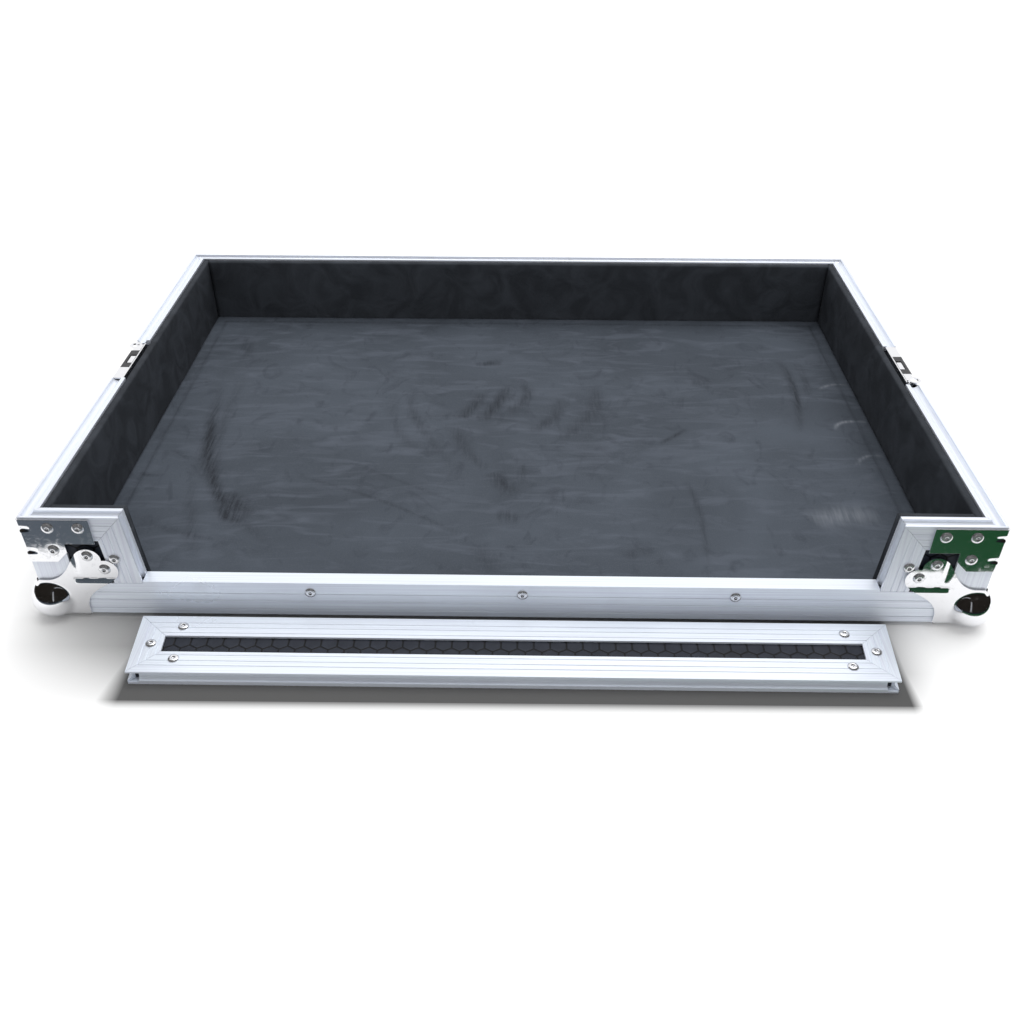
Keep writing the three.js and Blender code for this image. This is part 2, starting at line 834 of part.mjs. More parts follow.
// The hook: a frame round the cam, a neck and a lip that takes hold of the lid's striker
function hook() {
  const slotHalfWidth = camThrow + camRadius + camSlotPlay;
  const slotHalfHeight = Math.max(camRadius + camSlotPlay, camThrow + shaftRadius + fitGap);
  const middle = -spindleDrop - camThrow;
  const frameTop = middle + slotHalfHeight + hookFrameWall;
  const frame = rectangle(
    -slotHalfWidth - hookFrameWall, middle - slotHalfHeight - hookFrameWall,
    slotHalfWidth + hookFrameWall, frameTop,
  );
  frame.holes.push(rectangle(
    -slotHalfWidth, middle - slotHalfHeight,
    slotHalfWidth, middle + slotHalfHeight,
  ));
  const half = hookNeckWidth / 2;
  const neck = rectangle(-half, frameTop - hookFrameWall, half, -hookTopDrop);
  const lip = rectangle(-half, -hookTopDrop - hookLipHeight, half, -hookTopDrop);
  const back = -hookInset - hookThickness;
  return joined(
    plateAcrossX(frame, back, -hookInset),
    plateAcrossX(neck, back, -hookInset),
    plateAcrossX(lip, back, -hookInset + hookLip),
  );
}

function rodAlongZ(x, y, radius, low, high) {
  return plate(circle(x, y, radius), low, high, roundSides / 4);
}

// Turning disc with its shaft, cam, ears and the two pins that the wings hang on
function spindle() {
  const disc = circle(0, -spindleDrop, discRadius);
  const shaft = circle(0, -spindleDrop, shaftRadius);
  const cam = circle(0, -spindleDrop - camThrow, camRadius);
  const discBack = -discInset - discThickness;
  const pinHalf = knuckleLength / 2 + fitGap + earWidth;
  const earHalf = pinSpacing / 2 + knuckleRadius;
  const parts = [
    plateAcrossX(shaft, -recessFloor - dishWall, discBack + discThickness / 2, roundSides / 4),
    plateAcrossX(cam, -hookInset - hookThickness, discBack + discThickness / 2, roundSides / 4),
  ];
  for (const end of [-1, 1]) {
    const edges = [end * (pinHalf - earWidth), end * pinHalf].sort((a, b) => a - b);
    const ear = rectangle(-earHalf, -spindleDrop + edges[0], earHalf, -spindleDrop + edges[1]);
    parts.push(plateAcrossX(ear, discBack + discThickness / 2, -pinInset + knuckleRadius));
  }
  for (const hand of [-1, 1]) {
    const low = -spindleDrop - pinHalf + earWidth / 2;
    const high = -spindleDrop + pinHalf - earWidth / 2;
    parts.push(rodAlongZ(-pinInset, hand * pinSpacing / 2, pinRadius, low, high));
  }
  return joined(plateAcrossX(disc, discBack, -discInset, roundSides / 4), ...parts);
}

// One butterfly wing: a half-round plate hung on its pin by a knuckle
function wing(hand) {
  const half = knuckleLength / 2;
  const hinge = pinSpacing / 2;
  const edge = Math.acos(wingStart / wingRadius);
  const lobe = new THREE.Shape();
  lobe.absarc(0, 0, wingRadius, -edge, edge, false);
  const leaf = joined(
    plateAcrossX(lobe, -wingThickness / 2, wingThickness / 2, 2 * curveSteps),
    plateAcrossX(rectangle(hinge, -half, wingStart + pinRadius, half), -wingThickness / 2, wingThickness / 2),
    rodAlongZ(0, hinge, knuckleRadius, -half, half),
  );
  const bore = rodAlongZ(0, hinge, pinRadius + pinGap, -half - cutOverrun, half + cutOverrun);
  const place = new THREE.Matrix4().makeBasis(axis(1, 0, 0), axis(0, hand, 0), axis(0, 0, 1));
  return placed(cut(leaf, bore), place.setPosition(-pinInset, 0, -spindleDrop));
}

// Loose front panel

const panelInwards = axis(0, 0, -1);

// The panel's half width at a place along its height, from its narrow edge in front
function panelEdge(y) {
  return panelFootHalf + openingSlantShare * (y - panelFront);
}

function panelRail(end) {
  const edge = end < 0 ? panelFront : panelFront + panelHeight;
  const half = panelEdge(edge);
  const mitre = end < 0 ? mitreWideCorner : mitreNarrowCorner;
  const rail = bar(rimSection(), 2 * half, mitre, mitre);
  const whole = laid(rail, axis(-half, edge, rimWidth), panelInwards, axis(0, -end, 0), axis(1, 0, 0));
  const depth = edge - end * grooveFloor;
  const past = edge + end * cutOverrun;
  const reliefs = [-1, 1].map((side) => {
    const inner = side * (half - cornerReliefLength);
    const outer = side * (half + cutOverrun);
    return block(
      Math.min(inner, outer), Math.min(depth, past) - fitGap, metalWall,
      Math.max(inner, outer), Math.max(depth, past) + fitGap, rimWidth - metalWall,
    );
  });
  return cut(whole, ...reliefs);
}

function panelStile(side) {
  const length = panelHeight * slantStretch - 2 * fitGap;
  const stile = bar(rimSection(), length, mitreWideCorner, mitreNarrowCorner);
  const start = axis(side * panelEdge(panelFront + fitGap), panelFront + fitGap, rimWidth);
  const inwards = axis(-side, openingSlantShare, 0).normalize();
  const along = axis(side * openingSlantShare, 1, 0).normalize();
  return laid(stile, start, panelInwards, inwards, along);
}

function panelBoard() {
  const front = panelFront + boardDrop;
  const back = panelFront + panelHeight - boardDrop;
  const drop = boardDrop * slantStretch;
  const narrow = panelEdge(front) - drop;
  const wide = panelEdge(back) - drop;
  const shape = outlined([
    point(-narrow, front),
    point(narrow, front),
    point(wide, back),
    point(-wide, back),
  ]);
  return plate(shape, rimWidth - boardInner, rimWidth - boardInset);
}

// Assembly

const flightCase = new THREE.Group();
flightCase.position.y = -middleOfDepth;

function add(parent, name, geometry, finish) {
  const mesh = new THREE.Mesh(geometry, finish);
  mesh.name = name;
  parent.add(mesh);
}

add(flightCase, 'base_board', baseBoard(), laminate);
add(flightCase, 'back_board', backBoard(), laminate);
add(flightCase, 'front_board', frontBoard(), laminate);
add(flightCase, 'floor_foam', floorFoamPad(), floorFoam);
add(flightCase, 'back_foam', backFoam(), wallFoam);
add(flightCase, 'back_rim', backRim(), aluminium);
add(flightCase, 'front_sill', sill(), aluminium);
add(flightCase, 'back_bottom_angle', backAngle(), aluminium);

for (const side of [-1, 1]) {
  const name = sideName(side);
  add(flightCase, `${name}_board`, sideBoard(side), laminate);
  add(flightCase, `${name}_foam`, sideFoam(side), wallFoam);
  add(flightCase, `${name}_return_foam`, returnFoam(side), wallFoam);
  add(flightCase, `${name}_rim_front`, sideRim(side, -1), aluminium);
  add(flightCase, `${name}_rim_rear`, sideRim(side, 1), aluminium);
  add(flightCase, `${name}_return_rail`, returnRail(side), aluminium);
  add(flightCase, `${name}_jamb`, jamb(side), aluminium);
  add(flightCase, `${name}_bottom_angle`, sideAngle(side), aluminium);
}

for (const [side, end] of corners) {
  const name = `${endName(end)}_${sideName(side)}`;
  add(flightCase, `${name}_post`, cornerPost(side, end), aluminium);
  add(flightCase, `${name}_ball_corner`, ballCorner(side, end), chrome);
  add(flightCase, `${name}_brace`, brace(side, end), chrome);
}

for (const side of [-1, 1]) {
  const name = sideName(side);
  const latch = new THREE.Group();
  latch.position.set(side * halfWidth, caseDepth / 2, rimTop);
  latch.rotation.z = side < 0 ? Math.PI : 0;
  add(latch, `${name}_latch_dish`, latchDish(), chrome);
  add(latch, `${name}_padlock_eye`, padlockEye(), chrome);
  add(latch, `${name}_hook_guide`, hookGuide(), blackSteel);
  add(latch, `${name}_latch_hook`, hook(), chrome);
  add(latch, `${name}_latch_spindle`, spindle(), chrome);
  for (const hand of [-1, 1]) {
    add(latch, `${name}_latch_wing_${endName(hand * side)}`, wing(hand), chrome);
  }
  flightCase.add(latch);
}

const panel = new THREE.Group();
panel.position.x = panelShift;
add(panel, 'panel_board', panelBoard(), laminate);
for (const end of [-1, 1]) {
  add(panel, `panel_${endName(end)}_rail`, panelRail(end), aluminium);
}
for (const side of [-1, 1]) {
  add(panel, `panel_${sideName(side)}_stile`, panelStile(side), aluminium);
}
flightCase.add(panel);

export default flightCase;
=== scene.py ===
"""Flight case tray for a DJ controller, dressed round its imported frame.

Lengths are metres, with X to the right, Y to the back of the case and Z up. Small sizes are
written in millimetres and turned into metres by MM.
"""

import logging
from dataclasses import dataclass, field
from enum import Enum, IntEnum

import bmesh
import bpy
import numpy as np
from mathutils import Matrix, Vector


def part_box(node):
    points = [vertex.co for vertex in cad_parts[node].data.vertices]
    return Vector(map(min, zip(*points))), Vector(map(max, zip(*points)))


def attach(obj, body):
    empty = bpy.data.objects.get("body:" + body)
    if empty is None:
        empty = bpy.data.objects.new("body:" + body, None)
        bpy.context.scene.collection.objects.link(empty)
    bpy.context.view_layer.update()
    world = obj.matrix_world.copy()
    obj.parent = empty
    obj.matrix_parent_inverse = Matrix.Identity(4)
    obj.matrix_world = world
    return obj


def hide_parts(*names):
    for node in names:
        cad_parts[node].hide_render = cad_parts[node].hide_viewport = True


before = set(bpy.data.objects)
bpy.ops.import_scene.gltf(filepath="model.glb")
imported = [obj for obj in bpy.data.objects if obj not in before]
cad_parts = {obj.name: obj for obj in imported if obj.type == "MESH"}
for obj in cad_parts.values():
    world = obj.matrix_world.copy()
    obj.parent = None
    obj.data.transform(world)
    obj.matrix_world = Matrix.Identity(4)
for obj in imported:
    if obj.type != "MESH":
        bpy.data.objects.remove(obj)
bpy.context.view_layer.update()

MM = 0.001
LOG = logging.getLogger("flight_case")
NODES: dict[str, bpy.types.Object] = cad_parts
TRAY = "tray"
PANEL = "front_panel"
WHITE = (1.0, 1.0, 1.0, 1.0)
ROOT_3 = 3.0 ** 0.5

Colour = tuple[float, float, float]
Socket = bpy.types.NodeSocket


class Run(Enum):
    """The axis that an extrusion or a pattern runs along."""

    X = 0
    Y = 1
    Z = 2


class Side(IntEnum):
    """The case's sides, by the sign of their X."""

    LEFT = -1
    RIGHT = 1


class End(IntEnum):
    """The case's ends, by the sign of their Y."""

    FRONT = -1
    REAR = 1


def word(option: Enum) -> str:
    """Returns an option's name as the nodes' names have it."""
    return option.name.lower()


# ---------------------------------------------------------------------------
# Shader helpers
# ---------------------------------------------------------------------------


class Graph:
    """A node tree, with short calls for the nodes that are used a lot."""

    def __init__(self, tree: bpy.types.NodeTree) -> None:
        """Empties a tree and keeps it."""
        self.tree = tree
        self.tree.nodes.clear()

    def node(self, kind: str, **settings: object) -> bpy.types.Node:
        """Adds a node and sets its own properties.

        Args:
            kind: The node's type name, without the leading ShaderNode.
            settings: Properties of the node.

        Returns:
            The new node.
        """
        made = self.tree.nodes.new("ShaderNode" + kind)
        for key, value in settings.items():
            setattr(made, key, value)
        return made

    def feed(self, socket: Socket, value: object) -> None:
        """Links a socket to another, or sets its value.

        Args:
            socket: The input.
            value: The socket to link, or a plain value.
        """
        if isinstance(value, Socket):
            self.tree.links.new(value, socket)
        else:
            socket.default_value = value

    def maths(self, operation: str, *values: object) -> Socket:
        """Adds a Math node.

        Args:
            operation: The operation's name.
            values: Its inputs, sockets or numbers.

        Returns:
            The result's socket.
        """
        made = self.node("Math", operation=operation)
        for socket, value in zip(made.inputs, values):
            self.feed(socket, value)
        return made.outputs[0]

    def chain(self, operation: str, first: object, *others: object) -> Socket:
        """Runs an operation over any number of sockets or numbers.

        Args:
            operation: The operation's name.
            first: The first of them.
            others: The rest.

        Returns:
            The last result's socket.
        """
        for other in others:
            first = self.maths(operation, first, other)
        return first

    def product(self, *values: object) -> Socket:
        """Returns the product of sockets or numbers."""
        return self.chain("MULTIPLY", *values)

    def graded(self, value: Socket, low: float, high: float, out_low: float, out_high: float) -> Socket:
        """Maps a value's range to another range, clamped.

        Args:
            value: The value.
            low: The range's low end.
            high: Its high end.
            out_low: What the low end becomes.
            out_high: What the high end becomes.

        Returns:
            The mapped value's socket.
        """
        made = self.node("MapRange")
        for socket, number in zip(made.inputs, (value, low, high, out_low, out_high)):
            self.feed(socket, number)
        return made.outputs[0]


class Sheet(Graph):
    """One material's node tree, round a Principled shader."""

    def __init__(self, name: str) -> None:
        """Makes an empty material.

        Args:
            name: Its name.
        """
        self.material = bpy.data.materials.new(name)
        self.material.use_nodes = True
        super().__init__(self.material.node_tree)
        self.shader = self.node("BsdfPrincipled")
        self.feed(self.node("OutputMaterial").inputs["Surface"], self.shader.outputs["BSDF"])
        self.place = self.node("TexCoord").outputs["Object"]

    def split(self, vector: Socket) -> list[Socket]:
        """Splits a vector.

        Args:
            vector: Its socket.

        Returns:
            The sockets of its three parts.
        """
        made = self.node("SeparateXYZ")
        self.feed(made.inputs[0], vector)
        return list(made.outputs)

    def scaled(self, scale: tuple[float, float, float]) -> Socket:
        """Scales the object's own coordinates.

        Args:
            scale: The factor along each axis.

        Returns:
            The scaled coordinates' socket.
        """
        made = self.node("Mapping")
        self.feed(made.inputs["Vector"], self.place)
        made.inputs["Scale"].default_value = scale
        return made.outputs[0]

    def noise(self, scale: float, detail: float, vector: object = None,
              distortion: float = 0.0) -> Socket:
        """Adds fractal noise.

        Args:
            scale: Cells per metre.
            detail: Octaves.
            vector: Coordinates, the object's own if left out.
            distortion: How far the noise is bent by itself.

        Returns:
            The socket of its value, from 0 to 1.
        """
        made = self.node("TexNoise")
        self.feed(made.inputs["Vector"], vector or self.place)
        for key, value in (("Scale", scale), ("Detail", detail), ("Distortion", distortion)):
            made.inputs[key].default_value = value
        return made.outputs["Fac"]

    def stretched(self, scale: tuple[float, float, float], detail: float,
                  distortion: float = 0.0) -> Socket:
        """Adds fractal noise with its own number of cells per metre along each axis."""
        return self.noise(1.0, detail, self.scaled(scale), distortion)

    def mixed(self, share: object, first: object, second: object) -> Socket:
        """Mixes two colours.

        Args:
            share: How much of the second shows.
            first: A colour or a socket.
            second: A colour or a socket.

        Returns:
            The mixed colour's socket.
        """
        made = self.node("Mix", data_type="RGBA")
        self.feed(made.inputs[0], share)
        for socket, value in ((made.inputs[6], first), (made.inputs[7], second)):
            self.feed(socket, (*value, 1.0) if isinstance(value, tuple) else value)
        return made.outputs[2]

    def veil(self, value: Socket, low: float, high: float, share: float, under: object,
             over: object) -> Socket:
        """Lays a share of a colour over another as a value rises from low to high."""
        return self.mixed(self.graded(value, low, high, 0.0, share), under, over)

    def relief(self, height: Socket, depth: float, share: float) -> None:
        """Adds a bump to the shader, over any that it has.

        Args:
            height: The height's socket, from 0 to 1.
            depth: Millimetres from 0 to 1.
            share: The bump's strength.
        """
        made = self.node("Bump")
        self.feed(made.inputs["Height"], height)
        made.inputs["Distance"].default_value = depth * MM
        made.inputs["Strength"].default_value = share
        taken = self.shader.inputs["Normal"]
        if taken.is_linked:
            self.feed(made.inputs["Normal"], taken.links[0].from_socket)
        self.feed(taken, made.outputs[0])

    def set(self, **values: object) -> None:
        """Sets or links inputs of the shader, named with _ for each space."""
        for key, value in values.items():
            self.feed(self.shader.inputs[key.replace("_", " ")], value)


def tinted(colour: Colour, factor: float) -> Colour:
    """Returns a colour with every part multiplied."""
    return tuple(part * factor for part in colour)


# ---------------------------------------------------------------------------
# Finishes
# ---------------------------------------------------------------------------


@dataclass(frozen=True)
class AnodisedAluminium:
    """Satin anodised extrusion, with faint die lines along its run.

    line_cells are the noise's cells per metre along and across the run.
    """

    run: Run
    piece: str = "case"
    metallic: float = 0.5
    colour: Colour = (0.87, 0.92, 1.0)
    roughness: float = 0.38
    line_colour: Colour = (0.66, 0.67, 0.80)
    line_cells: tuple[float, float] = (6.0, 900.0)
    cloud_cells: float = 14.0

    def build(self) -> bpy.types.Material:
        """Lays out the finish's nodes.

        Returns:
            The material.
        """
        sheet = Sheet(f"{self.piece}_aluminium_{word(self.run)}")
        lines = sheet.stretched(tuple(self.line_cells[axis is not self.run] for axis in Run), 2.0)
        clouds = sheet.noise(self.cloud_cells, 4.0)
        tone = sheet.veil(clouds, 0.35, 0.7, 0.35, self.colour, tinted(self.colour, 0.93))
        sheet.set(Base_Color=sheet.veil(lines, 0.4, 0.7, 0.5, tone, self.line_colour),
                  Metallic=self.metallic,
                  Roughness=sheet.graded(clouds, 0.3, 0.75, self.roughness - 0.05, self.roughness + 0.1))
        sheet.relief(lines, 0.04, 0.35)
        return sheet.material


@dataclass(frozen=True)
class PlatedSteel:
    """Bright plated pressed steel, slightly wavy from the press and scuffed."""

    colour: Colour = (0.90, 0.905, 0.93)
    scuff_tint: float = 0.8
    roughness: float = 0.07
    scuff_roughness: float = 0.21
    wave_cells: float = 45.0
    scuff_cells: float = 260.0

    def build(self) -> bpy.types.Material:
        """Lays out the finish's nodes.

        Returns:
            The material.
        """
        sheet = Sheet("plated_steel")
        scuffs = sheet.noise(self.scuff_cells, 5.0, distortion=0.6)
        sheet.set(Base_Color=sheet.veil(scuffs, 0.58, 0.72, 0.25, self.colour,
                                        tinted(self.colour, self.scuff_tint)),
                  Metallic=1.0,
                  Roughness=sheet.graded(scuffs, 0.5, 0.75, self.roughness, self.scuff_roughness))
        sheet.relief(sheet.noise(self.wave_cells, 2.0), 0.6, 0.25)
        return sheet.material


@dataclass(frozen=True)
class CoatedSteel:
    """Black powder-coated steel."""

    colour: Colour = (0.018, 0.018, 0.021)
    grain_tint: float = 1.7
    grain_cells: float = 2600.0

    def build(self) -> bpy.types.Material:
        """Lays out the finish's nodes.

        Returns:
            The material.
        """
        sheet = Sheet("coated_steel")
        grain = sheet.noise(self.grain_cells, 3.0)
        pale = tinted(self.colour, self.grain_tint)
        sheet.set(Base_Color=sheet.veil(grain, 0.4, 0.7, 1.0, self.colour, pale),
                  Metallic=0.2, Roughness=0.42)
        sheet.relief(grain, 0.06, 0.6)
        return sheet.material


@dataclass(frozen=True)
class HexagonLaminate:
    """Black laminate pressed with hexagons, on a board that lies across one axis."""

    across: Run
    pitch: float = 13.4 * MM
    groove: float = 0.055
    cell: Colour = (0.022, 0.026, 0.038)
    line: Colour = (0.003, 0.003, 0.004)
    cloud_tint: float = 0.75
    cloud_cells: float = 90.0
    grain_cells: float = 1500.0

    def edge_distance(self, sheet: Sheet) -> Socket:
        """Works out how far a point is from its hexagon's edge.

        Points are folded into two interleaved grids of 1 by the root of 3, the nearer grid's
        centre is taken, and the hexagon's distance is half less the largest of |x| and
        |x| / 2 + |y| times half the root of 3.

        Args:
            sheet: The material's nodes.

        Returns:
            The socket: 0 on an edge and 0.5 at a centre.
        """
        parts = [part for axis, part in zip(Run, sheet.split(sheet.place)) if axis is not self.across]
        unit = [sheet.maths("DIVIDE", part, self.pitch) for part in parts]
        grids = [[self.fold(sheet, part, span, shift) for part, span in zip(unit, (1.0, ROOT_3))]
                 for shift in (0.0, 0.5)]
        lengths = [sheet.maths("ADD", sheet.product(x, x), sheet.product(y, y)) for x, y in grids]
        nearer = sheet.maths("LESS_THAN", *lengths)
        picked = []
        for first, second in zip(*grids):
            choice = sheet.node("Mix", data_type="FLOAT")
            for number, value in ((0, nearer), (2, second), (3, first)):
                sheet.feed(choice.inputs[number], value)
            picked.append(sheet.maths("ABSOLUTE", choice.outputs[0]))
        x, y = picked
        slanted = sheet.maths("ADD", sheet.product(x, 0.5), sheet.product(y, ROOT_3 / 2))
        return sheet.maths("SUBTRACT", 0.5, sheet.maths("MAXIMUM", x, slanted))

    @staticmethod
    def fold(sheet: Sheet, part: Socket, span: float, shift: float) -> Socket:
        """Returns a place counted from its cell's middle, in a grid shifted by a share of its span."""
        inside = sheet.maths("FLOORED_MODULO", sheet.maths("SUBTRACT", part, span * shift), span)
        return sheet.maths("SUBTRACT", inside, span / 2)

    def build(self) -> bpy.types.Material:
        """Lays out the finish's nodes.

        Returns:
            The material.
        """
        sheet = Sheet(f"hexagon_laminate_{word(self.across)}")
        shape = sheet.graded(self.edge_distance(sheet), self.groove * 0.55, self.groove * 1.3, 0.0, 1.0)
        clouds = sheet.noise(self.cloud_cells, 4.0)
        cell = sheet.veil(clouds, 0.3, 0.7, 1.0, self.cell, tinted(self.cell, self.cloud_tint))
        sheet.set(Base_Color=sheet.mixed(shape, self.line, cell),
                  Roughness=sheet.graded(clouds, 0.3, 0.75, 0.42, 0.56), Specular_IOR_Level=0.22)
        sheet.relief(shape, 0.3, 0.7)
        sheet.relief(sheet.noise(self.grain_cells, 2.0), 0.05, 0.5)
        return sheet.material


@dataclass(frozen=True)
class WallFoam:
    """Near-black closed-cell foam, with soft creases from the glue and the hand."""

    colour: Colour = (0.031, 0.035, 0.042)
    crease_tint: float = 1.6
    pore_colour: Colour = (0.055, 0.06, 0.07)
    crease_cells: float = 26.0
    pore_cells: float = 1500.0

    def build(self) -> bpy.types.Material:
        """Lays out the finish's nodes.

        Returns:
            The material.
        """
        sheet = Sheet("wall_foam")
        pores = sheet.noise(self.pore_cells, 3.0)
        creases = sheet.noise(self.crease_cells, 5.0, distortion=1.4)
        shade = sheet.veil(creases, 0.38, 0.66, 1.0, self.colour, tinted(self.colour, self.crease_tint))
        sheet.set(Base_Color=sheet.veil(pores, 0.45, 0.75, 0.4, shade, self.pore_colour),
                  Roughness=0.8, Specular_IOR_Level=0.12)
        sheet.relief(creases, 2.2, 0.5)
        sheet.relief(pores, 0.25, 0.7)
        return sheet.material


@dataclass(frozen=True)
class FloorFoam:
    """Slate-grey closed-cell foam with smears, smudges and rubbed strokes.

    The strokes come from the piece's own attribute, which the pad's mesh carries. The same attribute
    also holds painted shade, a dark line along the side and back walls, which takes the dark stroke
    colour.
    """

    stroke_and_shade_attribute: str
    colour: Colour = (0.066, 0.078, 0.097)
    smear: Colour = (0.105, 0.12, 0.15)
    smudge: Colour = (0.036, 0.042, 0.055)
    # Colour of the dark rubbed strokes and of the painted shade line along the walls.
    dark_stroke_and_seam_shade: Colour = (0.022, 0.026, 0.034)
    light_stroke: Colour = (0.3, 0.32, 0.36)
    pore: Colour = (0.12, 0.135, 0.16)
    cloud_cells: float = 7.0
    pore_cells: float = 1300.0

    def build(self) -> bpy.types.Material:
        """Lays out the finish's nodes.

        Returns:
            The material.
        """
        sheet = Sheet("floor_foam")
        pores = sheet.noise(self.pore_cells, 4.0)
        clouds = sheet.noise(self.cloud_cells, 5.0, distortion=0.8)
        smears = sheet.stretched((16.0, 60.0, 16.0), 5.0, distortion=1.2)
        smudges = sheet.stretched((34.0, 22.0, 20.0), 4.0, distortion=2.0)
        rubs = sheet.stretched((420.0, 42.0, 42.0), 3.0, distortion=0.4)
        strokes = sheet.node("Attribute", attribute_name=self.stroke_and_shade_attribute).outputs["Fac"]
        ragged = sheet.graded(rubs, 0.32, 0.68, 0.45, 1.3)
        # darker holds the dark strokes and the painted shade line along the walls.
        darker = sheet.product(sheet.graded(strokes, 0.0, -1.0, 0.0, 0.95), ragged)
        lighter = sheet.product(sheet.graded(strokes, 0.0, 1.0, 0.0, 0.6), ragged)
        tone = sheet.veil(clouds, 0.3, 0.72, 1.0, tinted(self.colour, 0.8), tinted(self.colour, 1.2))
        tone = sheet.veil(smears, 0.48, 0.72, 0.6, tone, self.smear)
        tone = sheet.veil(smudges, 0.56, 0.74, 0.45, tone, self.smudge)
        tone = sheet.mixed(lighter, sheet.mixed(darker, tone, self.dark_stroke_and_seam_shade), self.light_stroke)
        sheet.set(Base_Color=sheet.veil(pores, 0.5, 0.8, 0.4, tone, self.pore),
                  Roughness=sheet.graded(strokes, -1.0, 1.0, 0.66, 0.85), Specular_IOR_Level=0.12)
        sheet.relief(clouds, 1.5, 0.4)
        sheet.relief(pores, 0.25, 0.7)
        return sheet.material


@dataclass(frozen=True)
class RivetSteel:
    """Plated blind rivets, a little duller than the pressed steel."""

    colour: Colour = (0.90, 0.905, 0.93)
    grime_colour: Colour = (0.62, 0.63, 0.66)
    grime_cells: float = 900.0

    def build(self) -> bpy.types.Material:
        """Lays out the finish's nodes.

        Returns:
            The material.
        """
        sheet = Sheet("rivet_steel")
        grime = sheet.noise(self.grime_cells, 3.0)
        sheet.set(Base_Color=sheet.veil(grime, 0.45, 0.75, 0.5, self.colour, self.grime_colour),
                  Metallic=0.85, Roughness=sheet.graded(grime, 0.3, 0.8, 0.1, 0.22))
        sheet.relief(grime, 0.08, 0.4)
        return sheet.material


class Wardrobe:
    """All the finishes, each built once."""

    def __init__(self) -> None:
        """Builds the materials."""
        smooth = {"piece": "panel", "metallic": 0.34, "colour": (0.85, 0.915, 1.0), "roughness": 0.32}
        self.aluminium = {run: AnodisedAluminium(run).build() for run in Run}
        self.panel_aluminium = {run: AnodisedAluminium(run, **smooth).build() for run in (Run.X, Run.Y)}
        self.laminate = {run: HexagonLaminate(run).build() for run in Run}
        self.steel = PlatedSteel().build()
        self.coated = CoatedSteel().build()
        self.wall_foam = WallFoam().build()
        self.floor_foam = FloorFoam(FloorPad.stroke_and_shade_attribute).build()
        self.rivets = RivetSteel().build()


# ---------------------------------------------------------------------------
# Mesh helpers
# ---------------------------------------------------------------------------


def grid_faces(rows: int, columns: int, wrap: bool = False) -> np.ndarray:
    """Lists the quads of a grid.

    Quad (i, j) joins points (i, j), (i, j + 1), (i + 1, j + 1) and (i + 1, j).

    Args:
        rows: Points along the first parameter.
        columns: Points along the second parameter.
        wrap: Whether the last column meets the first.

    Returns:
        One row of four point numbers for each quad.
    """
    i, j = np.indices((rows - 1, columns if wrap else columns - 1))
    here, after = i * columns + j, i * columns + (j + 1) % columns
    return np.stack([here, after, after + columns, here + columns], -1).reshape(-1, 4)


def make_piece(name: str, points: np.ndarray, faces: list | np.ndarray, material: bpy.types.Material,
               weld: float = 0.0, recalculate: bool = True) -> bpy.types.Object:
    """Makes a smooth-shaded mesh object at the origin.

    Args:
        name: The piece's name.
        points: Its points, one row each, in metres.
        faces: Its faces, one row of point numbers each.
        material: Its material.
        weld: Points closer than this are merged.
        recalculate: Whether to turn the normals outwards.

    Returns:
        The object.
    """
    mesh = bpy.data.meshes.new(name)
    rows = [tuple(map(int, face)) for face in faces]
    mesh.from_pydata(points.reshape(-1, 3).tolist(), [], rows)
    if weld or recalculate:
        work = bmesh.new()
        work.from_mesh(mesh)
        if weld:
            bmesh.ops.remove_doubles(work, verts=work.verts, dist=weld)
            bmesh.ops.dissolve_degenerate(work, edges=work.edges, dist=weld / 4)
        if recalculate:
            bmesh.ops.recalc_face_normals(work, faces=work.faces)
        work.to_mesh(mesh)
        work.free()
    mesh.materials.append(material)
    mesh.shade_smooth()
    piece = bpy.data.objects.new(name, mesh)
    bpy.context.scene.collection.objects.link(piece)
    return piece


def settle(piece: bpy.types.Object, body: str, slot: str, *nodes: str) -> None:
    """Makes a piece ride on a body and hides the CAD nodes that it stands for.

    Args:
        piece: The piece.
        body: The body it rides on.
        slot: Not used.
        nodes: CAD nodes that it replaces.
    """
    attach(piece, body)
    if nodes:
        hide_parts(*nodes)
    LOG.info("%s rides on %s", piece.name, body)


def smooth_least(first: np.ndarray, second: np.ndarray, width: float) -> np.ndarray:
    """Returns the smaller of two arrays, rounded where they are closer than width."""
    near = np.maximum(width - np.abs(first - second), 0.0) / width
    return np.minimum(first, second) - near * near * width / 4


# ---------------------------------------------------------------------------
# The case's main faces, read off the frame
# ---------------------------------------------------------------------------


@dataclass(frozen=True)
class Faces:
    """Where the case's outer faces are."""

    half_width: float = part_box("back_rim")[1].x
    front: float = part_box("front_sill")[0].y
    back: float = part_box("back_rim")[1].y
    bottom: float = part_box("front_sill")[0].z
    top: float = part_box("back_rim")[1].z
    opening_high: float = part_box("right_return_rail")[0].x
    opening_low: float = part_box("right_jamb")[0].x
    jamb_foot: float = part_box("right_jamb")[0].z

    def opening(self, z: np.ndarray | float) -> np.ndarray | float:
        """Returns the front opening's half width at a height; it narrows evenly downwards."""
        slant = (self.opening_high - self.opening_low) / (self.top - self.jamb_foot)
        return self.opening_high - slant * (self.top - z)

    def end(self, end: End) -> float:
        """Returns the Y of the front or the rear face."""
        return self.front if end is End.FRONT else self.back

    def corner(self, side: Side, end: End) -> Matrix:
        """Places a lower corner's own coordinates, which count inwards, in the frame.

        Args:
            side: The corner's side.
            end: The corner's end.

        Returns:
            The matrix from its coordinates to the frame's.
        """
        place = Matrix.Diagonal((-side, -end, 1.0, 1.0))
        place.translation = (side * self.half_width, self.end(end), self.bottom)
        return place


FACES = Faces()


def moved(points: np.ndarray, place: Matrix) -> np.ndarray:
    """Returns points taken through a matrix."""
    turn = np.array(place.to_3x3())
    return points @ turn.T + np.array(place.translation)


# ---------------------------------------------------------------------------
# Foam lining
# ---------------------------------------------------------------------------


PATH_POINTS = 13


